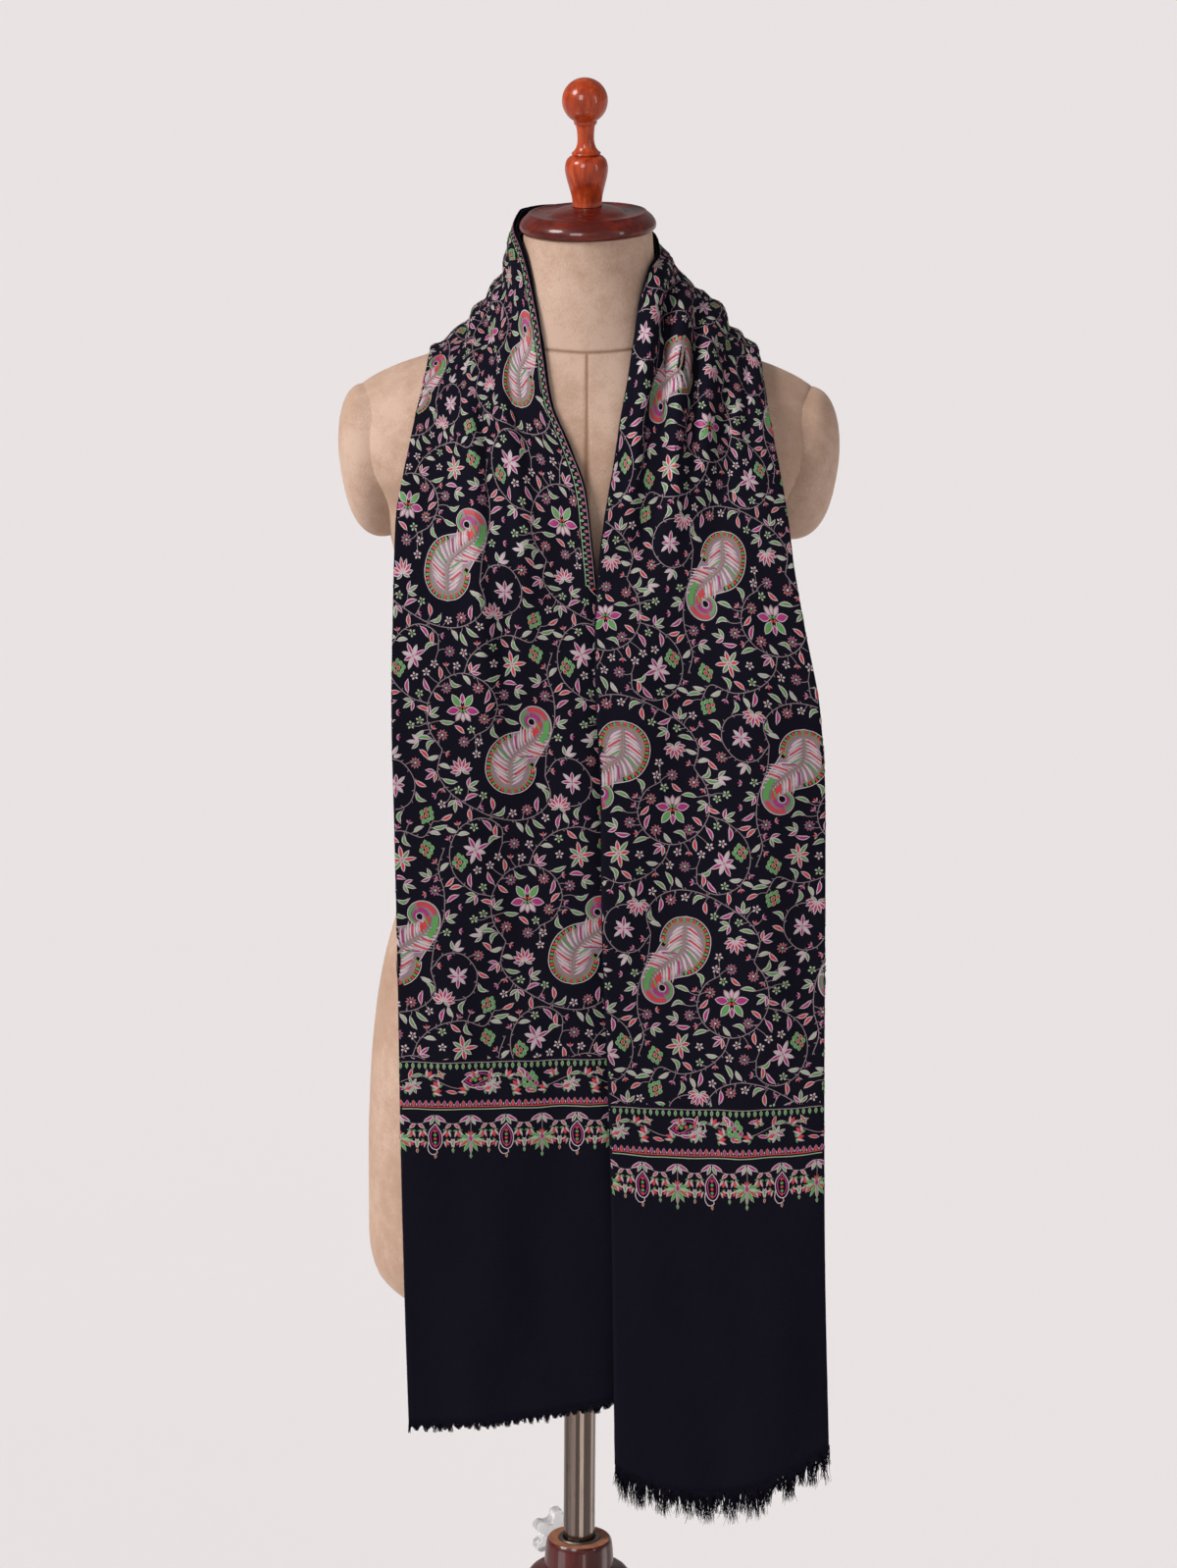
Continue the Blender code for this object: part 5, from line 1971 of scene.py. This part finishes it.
# ---------------------------------------------------------------- the shawl
@dataclass
class Shawl:
    """The folded shawl: its sheet, its embroidery and the frayed fringe at each hem."""

    shape: ShawlShape
    strand_step: float = 0.27
    strand_radius: float = 0.50
    strand_rows: int = 6
    left_reach: tuple[float, float] = (4.5, 8.5)
    right_reach: tuple[float, float] = (11.0, 29.0)
    strand_taper: float = 0.82
    tuft_widths: tuple[float, float] = (2.5, 9.5)
    tuft_pull: float = 0.97
    tuft_power: float = 1.4
    sway: float = 0.10
    curl: float = 0.9
    seed: int = 5

    def build(self) -> None:
        cloth = self.make_sheet()
        threads = {silk: SilkThread(silk).material() for silk in Silk}
        yarn = YarnFray().material()
        on_it = Embroidery(self.shape).build(threads)
        for side, far, reach in (("left", False, self.left_reach), ("right", True, self.right_reach)):
            on_it.append(self.make_fringe("fringe_" + side, far, reach, yarn))

    def make_sheet(self) -> bpy.types.Object:
        """The doubled cloth as one sheet round its outer fold, with a UV map in metres of flat cloth.

        Returns:
            The sheet.
        """
        shape = self.shape
        rows, columns = shape.points.shape[:2]
        cloth = make_piece("shawl_cloth", shape.points.reshape(-1, 3), grid_quads(rows, columns)[:, ::-1])
        flat = np.stack(np.broadcast_arrays(shape.columns[None, :], shape.row_runs[:, None]), -1)
        flat = flat.reshape(-1, 2) * MM
        corners = np.zeros(len(cloth.data.loops), np.int32)
        cloth.data.loops.foreach_get("vertex_index", corners)
        layer = cloth.data.uv_layers.new(name="cloth")
        layer.data.foreach_set("uv", flat[corners].astype(np.float32).ravel())
        wall = cloth.modifiers.new("Cloth thickness", "SOLIDIFY")
        wall.thickness = shape.wall * MM
        wall.offset = 0.0
        fit_out(cloth, "form", [PashminaTwill().material()],
                ("shawl_left_panel", "shawl_neck_stretch", "shawl_right_panel"))
        return cloth

    def make_fringe(
        self, node: str, far: bool, reach: tuple[float, float], yarn: bpy.types.Material,
    ) -> bpy.types.Object:
        """Frayed warp ends below one hem.

        A strand is a three-sided taper along hem point + fall × length, drawn towards its tuft's
        middle by a power of the way down, with a small seeded sway.

        Args:
            node: the CAD node it stands for.
            far: whether this is the right panel's hem.
            reach: the shortest and longest strand.
            yarn: its material.

        Returns:
            The fringe.
        """
        shape, rng = self.shape, np.random.default_rng(self.seed + far)
        hem, inside = (shape.points[-1], shape.points[-3]) if far else (shape.points[0], shape.points[2])
        last = shape.columns[-1]

        def along(row: Array, across: Array) -> Array:
            """The points of a row of the cloth at places across it."""
            return np.stack([np.interp(across, shape.columns, row[:, k]) for k in range(3)], 1)

        at = np.arange(0.4, last, self.strand_step)
        at = at + rng.uniform(-0.3, 0.3, len(at))
        base = along(hem, at)
        fall = unit(unit(base - along(inside, at)) + (0, 0, -0.5))
        narrow, broad = self.tuft_widths
        edges = np.cumsum(rng.uniform(narrow, broad, int(last / narrow) + 2)) - broad
        tuft = np.clip(np.searchsorted(edges, at + rng.uniform(-0.8, 0.8, len(at))), 1, len(edges) - 1)
        middle = (edges[tuft - 1] + edges[tuft]) / 2
        size = rng.uniform(0, 1, len(edges))[tuft]
        length = (reach[0] + (reach[1] - reach[0]) * size * rng.uniform(0.7, 1.0, len(at)))[:, None]
        t = np.linspace(0, 1, self.strand_rows)
        drawn = (along(hem, np.clip(middle, 0, last)) - base) * self.tuft_pull
        sway = rng.normal(0, 1, (len(at), 3)) * (1.0, 0.8, 0.2) * self.sway
        curl = rng.uniform(-1, 1, (len(at), 1)) * self.curl
        line = base[:, None] - fall[:, None] + fall[:, None] * (length * t + (t > 0))[:, :, None]
        line += drawn[:, None] * (t**self.tuft_power)[None, :, None]
        line += sway[:, None] * (length * t**1.5)[:, :, None]
        line[:, :, 0] += curl * np.sin(t * 5.0 + at[:, None])
        angle = round_turn(3)
        ring = np.stack([np.cos(angle), np.sin(angle), 0 * angle], 1)
        thin = self.strand_radius * (1 - self.strand_taper * t)
        points = line[:, :, None, :] + ring[None, None] * thin[None, :, None, None]
        one = grid_quads(self.strand_rows, 3, wraps=True)[:, ::-1]
        faces = (one[None] + (np.arange(len(at)) * self.strand_rows * 3)[:, None, None]).reshape(-1, 4)
        piece = make_piece(node + "_strands", points.reshape(-1, 3), faces)
        fit_out(piece, "form", [yarn], (node,))
        return piece


# ---------------------------------------------------------------- the dress form
@dataclass
class DressForm:
    """The limbless form: suede-covered torso with its seams, two padded arm caps, and the bore for the pole.
    """

    shape: FormShape
    columns: int = 192
    foot: float = 655.0
    bore: float = 13.2
    bore_top: float = 850.5
    neck_seam: float = 1403.0
    neck_seam_slope: float = 0.22
    seam_depth: float = 0.7
    seam_width: float = 1.1
    arm_depth: float = 45.0
    arm_bulge: tuple[float, float] = (26.0, 30.0)
    arm_sides: int = 96
    tuck: float = 9.0

    def build(self) -> None:
        """Makes the torso and both arm caps."""
        suede = Suede().material()
        torso = self.make_torso()
        fit_out(torso, "form", [suede], ("form_torso",))
        for side, name in ((-1, "left"), (1, "right")):
            cap = self.make_arm_cap(side, name)
            fit_out(cap, "form", [suede], ("arm_cap_" + name,))

    def heights(self) -> Array:
        """Rows up the form, 9 mm apart and closer at the foot, shoulders and neck seam.

        Returns:
            The heights, from the foot up.
        """
        knots = np.array([
            self.foot, 657, 660, 666, 676, 700, 1240, 1300, 1370, 1388, 1400, 1412, 1440, self.shape.neck_top,
        ])
        gaps = (1, 1.5, 2.5, 4, 7, 9, 7, 6, 2.4, 0.8, 0.8, 3, 4.0)
        runs = [np.arange(low, high, gap) for low, high, gap in zip(knots[:-1], knots[1:], gaps)]
        return np.concatenate([*runs, knots[-1:]])

    def angles(self) -> Array:
        """Angles round the form, bunched at the front and back centre seams."""
        t = np.arange(self.columns) / self.columns
        return 2 * np.pi * t + 0.21 * np.sin(4 * np.pi * t)

    def make_torso(self) -> bpy.types.Object:
        """The torso: x = half width × cos^(2/n), y = depth × sin^(2/n), clipped flat at the armholes.

        The centre seams and the neck seam are bell-shaped grooves, and their depth is kept as the
        seam attribute.

        Returns:
            The torso.
        """
        shape = self.shape
        heights = self.heights()[::-1]
        half_width, front, back, roundness = (v[:, None] for v in shape.section(heights))
        angle, z = self.angles()[None, :], heights[:, None]
        power = 2 / roundness
        x = half_width * np.sign(np.cos(angle)) * np.abs(np.cos(angle)) ** power
        share = np.sign(np.sin(angle)) * np.abs(np.sin(angle)) ** power
        y = np.where(share < 0, share * (front + shape.bust(x, z)), share * back)
        (x_low, z_low), (x_high, z_high) = shape.armhole_low, shape.armhole_high
        reach = x_low + (x_high - x_low) * (z - z_low) / (z_high - z_low)
        cut = (z > z_low - 8) & (z < z_high + 2)
        x = np.where(cut, np.clip(x, -reach, reach), x)
        z = z + shape.lean(x, y, z)
        centre = np.exp(-((x / self.seam_width) ** 2)) * (z < self.neck_seam)
        level = z - self.neck_seam - self.neck_seam_slope * (y + 60)
        seam = np.maximum(centre, np.exp(-((level / self.seam_width) ** 2)))
        size = 1 - self.seam_depth * seam / np.maximum(np.hypot(x, y), 1)
        rings = np.stack([x * size, y * size, z], -1)
        bore = np.stack([self.bore * np.cos(self.angles()), self.bore * np.sin(self.angles())], 1)
        mouth, end = (np.column_stack([bore, np.full(self.columns, z)]) for z in (self.foot, self.bore_top))
        grid = np.concatenate([rings, [mouth], [end]])
        faces = grid_quads(*grid.shape[:2], wraps=True)[:, ::-1].tolist()
        count = len(grid) * self.columns
        faces += [list(range(self.columns)), list(range(count - 1, count - self.columns - 1, -1))]
        torso = make_piece("form_torso_cover", grid.reshape(-1, 3), faces, 55)
        depths = np.concatenate([seam.ravel(), np.zeros(2 * self.columns)])
        mark = torso.data.attributes.new("seam", "FLOAT", "POINT")
        mark.data.foreach_set("value", depths.astype(np.float32))
        return torso

    def make_arm_cap(self, side: int, name: str) -> bpy.types.Object:
        """A padded oval on the armhole's flat cut.

        Rings shrink by a share s from the rim, and stand off by bulge × (1 − s^f)^(1/2.2), where f
        is less towards the shoulder.

        Args:
            side: -1 for the left, 1 for the right.
            name: the side's name.

        Returns:
            The cap.
        """
        low, high = np.array(self.shape.armhole_low), np.array(self.shape.armhole_high)
        up = (high - low) / np.linalg.norm(high - low)
        out = np.array([up[1], -up[0]])
        half_tall = np.linalg.norm(high - low) / 2 - 0.5
        centre = (low + high) / 2 + out * 0.3
        n = self.arm_sides
        angle = round_turn(n)[None, :]
        share = np.concatenate([1 - 0.16 * (np.linspace(0, 1, 14) ** 2), np.linspace(0.82, 0.02, 22)])
        share = share[:, None]
        share[0] = 0.9995
        fullness = 2.6 - 0.7 * np.sin(angle)
        bulge = self.arm_bulge[0 if side < 0 else 1] * np.maximum(1 - share**fullness, 0) ** (1 / 2.2)
        along = half_tall * share * np.sin(angle)
        points = np.stack([
            side * (centre[0] + up[0] * along + out[0] * bulge),
            self.arm_depth * share * np.cos(angle) + 0 * bulge,
            centre[1] + up[1] * along + out[1] * bulge,
        ], -1)
        flat = points[0].copy()
        flat[:, 0] -= side * out[0] * (bulge[0] + self.tuck)
        flat[:, 2] -= out[1] * (bulge[0] + self.tuck)
        grid = np.concatenate([[flat], points])
        faces = grid_quads(*grid.shape[:2], wraps=True).tolist()
        faces += [list(range(n))[::-1], list(range((len(grid) - 1) * n, len(grid) * n))]
        if side > 0:
            faces = [face[::-1] for face in faces]
        return make_piece("arm_cap_cover_" + name, grid.reshape(-1, 3), faces, 50)


# ---------------------------------------------------------------- turned pieces
TURNED_EDGE = 38.0  # degrees; a turned piece's edges that bend more stay sharp


def revolve(
    name: str, runs: list[Any], sides: int, step: float, place: Matrix | None = None,
) -> bpy.types.Object:
    """A turned piece: each run of (radius, height) points is smoothed, then all are turned about Z.

    Edges that bend more than TURNED_EDGE stay sharp.

    Args:
        name: the piece's name.
        runs: runs of profile points from the top down the outside, joined at hard edges.
        sides: points round the piece.
        step: spacing of points down the profile.
        place: a placement applied to the mesh.

    Returns:
        The piece, with the poles closed.
    """
    profile = np.concatenate([rounded(run, step)[0 if k == 0 else 1 :] for k, run in enumerate(runs)])
    profile[:, 0] = np.maximum(profile[:, 0], 0.0)
    angle = round_turn(sides)
    ring = np.stack([np.cos(angle), np.sin(angle)], 1)
    grid = np.concatenate([
        profile[:, None, 0:1] * ring[None], np.broadcast_to(profile[:, None, 1:2], (len(profile), sides, 1)),
    ], axis=2)
    closed_top, closed_end = profile[0, 0] < 0.01, profile[-1, 0] < 0.01
    inner = grid[1 if closed_top else 0 : len(grid) - 1 if closed_end else len(grid)]
    points = [inner.reshape(-1, 3)]
    faces = grid_quads(*inner.shape[:2], wraps=True)[:, ::-1].tolist()
    count = len(points[0])
    k = np.arange(sides)
    if closed_top:
        points.append(np.array([[0, 0, profile[0, 1]]]))
        faces += np.stack([k, (k + 1) % sides, 0 * k + count], 1).tolist()
        count += 1
    if closed_end:
        points.append(np.array([[0, 0, profile[-1, 1]]]))
        last = (len(inner) - 1) * sides
        faces += np.stack([last + (k + 1) % sides, last + k, 0 * k + count], 1).tolist()
    joined = np.concatenate(points)
    return make_piece(name, joined if place is None else placed_by(place, joined), faces, TURNED_EDGE)


def arc(x: float, z: float, radius: float, start: float, end: float, count: int) -> list[tuple[float, float]]:
    """(radius, height) points along a circle's arc; angles in degrees."""
    angles = np.radians(np.linspace(start, end, count))
    return [(x + radius * math.cos(a), z + radius * math.sin(a)) for a in angles]


@dataclass
class NeckTurnings:
    """The turned cap on the neck and the finial on it, tilted together with the neck's top."""

    shape: FormShape
    cap_wood: LacqueredWood = LacqueredWood("lacquered_cherry", "#3C0C07", "#5A140A", "#722210", grain_axis=0)
    finial_wood: LacqueredWood = LacqueredWood("lacquered_beech", "#7E270E", "#A53A15", "#C05222")
    sides: int = 128

    def build(self) -> None:
        """Makes the cap and the finial in their tilted place."""
        tilt = Matrix.Translation((0, 0, self.shape.neck_top))
        tilt = tilt @ Matrix.Rotation(-self.shape.lean_side, 4, "Y")
        tilt = tilt @ Matrix.Rotation(self.shape.lean_forward, 4, "X")
        cap = revolve("neck_cap_turned", [
            [(0, 18.6), (13, 18.5), (19, 17.4), (24.5, 15.6), (28.5, 13.2), (31, 12.3)],
            [(31, 12.3), (37, 12.6), (41.6, 13.6)],
            arc(43, 13.0, 1.5, 160, 20, 7),
            [(44.5, 13.2), (46.4, 11.8), (48.8, 9.4), (50.4, 6.8), (51, 4.2), (50.6, 2.2), (49.2, 0.8),
             (47.6, 0.3)],
            [(47.6, 0.3), (0, 0.3)],
        ], self.sides, 0.9, tilt)
        fit_out(cap, "form", [self.cap_wood.material()], ("neck_cap",))
        finial = revolve("finial_turned", [
            arc(0, 96.5, 17.0, 90, -59, 24),
            [(8.76, 81.9), (8.5, 79.8), (7.0, 77.5), (6.3, 72), (6.25, 67), (7.2, 62.5), (9.2, 59.5),
             (10.6, 58.4)],
            [(10.6, 58.4), (10.9, 57.8), (10.6, 57.2), (9.9, 56.4)],
            [(9.9, 56.4), (12.3, 55.4), (14.3, 53.4), (15.5, 50.6), (16.0, 47.2), (15.8, 43.6), (14.9, 39),
             (13.3, 33), (11.9, 27.6), (11.1, 23), (11.1, 18.9)],
            [(10.9, 18.9), (0, 18.9)],
        ], self.sides, 0.9, tilt)
        fit_out(finial, "form", [self.finial_wood.material()], ("finial",))


@dataclass
class Stand:
    """The turned socket column on its round base, the steel bushing, pole and screw, and the clear knob."""

    nodes: dict[str, bpy.types.Object]
    socket_top: float = 447.6
    bore: float = 16.8
    base_radius: float = 200.0
    base_height: float = 34.0
    knob_height: float = 432.0
    knob_turn: float = math.radians(112.0)
    knob_distance: float = 43.0
    knob_thickness: float = 12.0
    knob_radius: float = 21.0
    knob_lobes: int = 6
    knob_sides: int = 168
    tints: tuple[str, str, str] = ("#380F0D", "#471411", "#581B16")

    def build(self) -> None:
        """Makes the stand's pieces and dresses the pole and screw."""
        wood = LacqueredWood("lacquered_mahogany", *self.tints).material()
        steel = PlatedSteel("satin_nickel_plate", "#5A4F49", 0.14).material()
        dull = PlatedSteel("dull_steel", "#6A625C", 0.4).material()
        column = self.make_column()
        fit_out(column, "stand", [wood, RawWood().material()], ("stand_column",))
        self.mark_raw_top(column)
        base = self.make_base()
        board = LacqueredWood("lacquered_mahogany_board", *self.tints, grain_axis=0).material()
        fit_out(base, "stand", [board], ("stand_base",))
        bushing = revolve("socket_bushing_sleeve", [
            [(13.2, 448.8), (15.9, 448.8)], [(15.9, 448.8), (16.3, 448.6), (16.4, 448.2)],
            [(16.4, 448.2), (16.4, 330)], [(16.4, 330), (13.2, 330)], [(13.2, 330), (13.2, 448.8)],
        ], 64, 12.0)
        fit_out(bushing, "stand", [dull], ("socket_bushing",))
        knob = self.make_knob()
        fit_out(knob, "knob", [ClearAcrylic().material()], ("clamp_knob",))
        for name, finish in (("pole", steel), ("clamp_screw", dull)):
            for place in self.nodes[name].material_slots:
                place.material = finish

    def make_column(self) -> bpy.types.Object:
        """The socket column: a swelling shaft between two beads, flared into the base, bored at the top.

        Returns:
            The column.
        """
        top, base = self.socket_top, self.base_height + 0.3
        return revolve("stand_column_turned", [
            [(self.bore, top), (24.4, top)],
            [(24.4, top), (25.2, top - 0.5), (25.8, top - 1.8), (26.7, 440), (27.3, 432), (27.4, 422.5)],
            [(27.4, 422.5), (29.5, 421.6), (33.5, 420.8)],
            arc(33.5, 413.0, 7.8, 90, -90, 14),
            [(33.5, 405.2), (29.5, 404.2), (28.0, 402)],
            [(28.0, 402), (27.2, 394), (26.5, 380), (27.5, 330), (30.5, 270), (32.5, 220), (31.5, 180),
             (27, 142), (25, 128)],
            [(25, 128), (26.5, 126.4), (28, 126)],
            arc(28, 119, 7.0, 90, -90, 12),
            [(28, 112), (27, 110.5), (28, 96), (34, 74), (44, 54), (52, 44), (54, base)],
            [(54, base), (self.bore, base)], [(self.bore, base), (self.bore, top)],
        ], 88, 2.6)

    def mark_raw_top(self, column: bpy.types.Object) -> None:
        """Gives the sawn top ring its bare wood: faces whose middle is level with the top.

        Args:
            column: the column.
        """
        middles = np.zeros(len(column.data.polygons) * 3, np.float32)
        column.data.polygons.foreach_get("center", middles)
        raw = middles.reshape(-1, 3)[:, 2] > (self.socket_top - 0.35) * MM
        column.data.polygons.foreach_set("material_index", raw.astype(np.int32))

    def make_base(self) -> bpy.types.Object:
        """The base: a flat seat, a long shallow slope, a small step and a half-round edge.

        Returns:
            The base.
        """
        rim, top = self.base_radius, self.base_height
        return revolve("stand_base_turned", [
            [(0, top), (60, top)], [(60, top), (64, top - 0.6), (66, top - 3)],
            [(66, top - 3), (90, 30.2), (120, 28.6), (165, 24.5), (180, 22.5)],
            [(180, 22.5), (183.4, 21.8), (184, 20)], [(184, 20), (188, 18.2), (191, 18)],
            arc(rim - 9, 9, 9, 90, -90, 14), [(rim - 9, 0), (0, 0)],
        ], 144, 4.0)

    def make_knob(self) -> bpy.types.Object:
        """The thumb knob: a disc of radius R × (0.84 + 0.16 × a squared-off cosine of the lobes).

        Returns:
            The knob.
        """
        half, edge = self.knob_thickness / 2, 1.6
        shares = rounded([(0.02, half), (0.35, half), (0.55, half - 0.6), (0.85, half - 0.2)], 0.12)
        rim = np.array([(0.93, half - 0.2), (0.975, half - 0.7), (1.0, half - edge)])
        rows = np.concatenate([shares, rim, [(1.0, 0.0)], rim[::-1] * (1, -1), [(0.6, -half), (0.02, -half)]])
        n = self.knob_sides
        angle = round_turn(n)
        wave = np.cos(self.knob_lobes * angle)
        radius = self.knob_radius * (0.84 + 0.16 * np.sign(wave) * np.abs(wave) ** 0.5)
        x = rows[:, :1] * (radius * np.cos(angle))[None]
        y = rows[:, :1] * (radius * np.sin(angle))[None]
        grid = np.stack([x, y, rows[:, 1:2] + 0 * x], -1)
        count = len(grid) * n
        faces = grid_quads(*grid.shape[:2], wraps=True)[:, ::-1].tolist()
        faces += [list(range(n)), list(range(count - 1, count - n - 1, -1))]
        place = Matrix.Translation((0, 0, self.knob_height)) @ Matrix.Rotation(self.knob_turn, 4, "Z")
        place = place @ Matrix.Rotation(math.pi / 2, 4, "Y")
        place = place @ Matrix.Translation((0, 0, self.knob_distance + half))
        return make_piece("clamp_knob_moulded", placed_by(place, grid.reshape(-1, 3)), faces, 40)


# ---------------------------------------------------------------- studio
@dataclass
class Studio:
    """Pale seamless floor, soft light mostly from the left, and the camera."""

    lens: float = 101.4
    distance: float = 3.375
    aim_height: float = 1.0645
    aim_side: float = 0.0033
    tilt: float = math.radians(13.5)
    roll: float = math.radians(0.4)
    floor_reach: float = 150.0
    paper: StudioPaper = StudioPaper()
    air: str = "#F2EFEE"
    air_strength: float = 0.35

    def build(self) -> None:
        """Sets the floor, the light and the camera."""
        bpy.context.scene.view_settings.view_transform = "Standard"
        self.make_floor()
        self.light_it()
        self.place_camera()

    def make_floor(self) -> None:
        """A very wide level sheet of paper at the stand's foot."""
        r = self.floor_reach / MM
        corners = np.array([(-r, -r, 0), (r, -r, 0), (r, r, 0), (-r, r, 0)], float)
        floor = make_piece("studio_floor", corners, [[0, 1, 2, 3]])
        floor.data.materials.append(self.paper.material())

    def light_it(self) -> None:
        """A broad key from the left front, a soft fill and even air light the cloth.

        Two boxes and three low panels are only seen mirrored, in the lacquer and the pole.
        """
        for name, toward, strength, spread, tint in (
            ("key_light", (-0.95, -0.45, 0.80), 3.1, 22, "#FFFCFA"),
            ("fill_light", (0.55, -0.9, 0.45), 0.30, 50, "#F7F8FF"),
        ):
            light = self.hang(name, "SUN", toward).data
            light.energy, light.angle, light.color = strength, math.radians(spread), linear(tint)[:3]
        for name, place, aim, size, watts in (
            ("front_box", (-0.9, -2.4, 2.5), (0, 0, 1.5), (0.9, 1.1), 42.0),
            ("side_box", (1.9, -1.2, 1.9), (0, 0, 1.4), (0.30, 1.2), 8.0),
            ("low_panel_left", (-0.75, -0.45, 0.22), (0, 0, 0.25), (0.42, 0.60), 2.6),
            ("low_panel_front", (0.29, -0.96, 0.18), (0, 0, 0.25), (0.17, 0.50), 1.1),
            ("low_panel_right", (0.72, 0.06, 0.24), (0, 0, 0.25), (0.30, 0.60), 1.5),
        ):
            lamp = self.hang(name, "AREA", np.subtract(place, aim))
            lamp.location, lamp.visible_camera, lamp.visible_diffuse = place, False, False
            lamp.data.shape, lamp.data.energy = "RECTANGLE", watts
            lamp.data.size, lamp.data.size_y = size
        world = bpy.data.worlds.new("studio_air")
        world.use_nodes = True
        air = world.node_tree.nodes["Background"]
        air.inputs["Strength"].default_value = self.air_strength
        air.inputs["Color"].default_value = linear(self.air)
        bpy.context.scene.world = world

    @staticmethod
    def hang(name: str, kind: str, toward: Any) -> bpy.types.Object:
        """Hangs a lamp with its back towards a direction.

        Args:
            name: the lamp's name.
            kind: the kind of light.
            toward: the direction.

        Returns:
            The lamp.
        """
        lamp = bpy.data.objects.new(name, bpy.data.lights.new(name, kind))
        lamp.rotation_mode = "QUATERNION"
        lamp.rotation_quaternion = Vector(toward).to_track_quat("Z", "Y")
        bpy.context.scene.collection.objects.link(lamp)
        return lamp

    def place_camera(self) -> None:
        """The camera, a little above shoulder height, looking slightly down."""
        data = bpy.data.cameras.new("studio_camera")
        data.lens, data.sensor_width, data.clip_end = self.lens, 36.0, 500.0
        camera = bpy.data.objects.new("studio_camera", data)
        back, up = self.distance * math.cos(self.tilt), self.distance * math.sin(self.tilt)
        place = (self.aim_side, -back, self.aim_height + up)
        turn = Matrix.Rotation(math.pi / 2 - self.tilt, 4, "X") @ Matrix.Rotation(self.roll, 4, "Z")
        camera.matrix_world = Matrix.Translation(place) @ turn
        bpy.context.scene.collection.objects.link(camera)
        bpy.context.scene.camera = camera


def main() -> None:
    """Builds the studio, the form, its turnings, the stand and the shawl."""
    logging.basicConfig(level=logging.INFO, format="%(name)s %(message)s")
    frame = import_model()
    Studio().build()
    form = FormShape()
    DressForm(form).build()
    NeckTurnings(form).build()
    Stand(frame["nodes"]).build()
    Shawl(ShawlShape(form)).build()


if __name__ == "__main__":
    main()
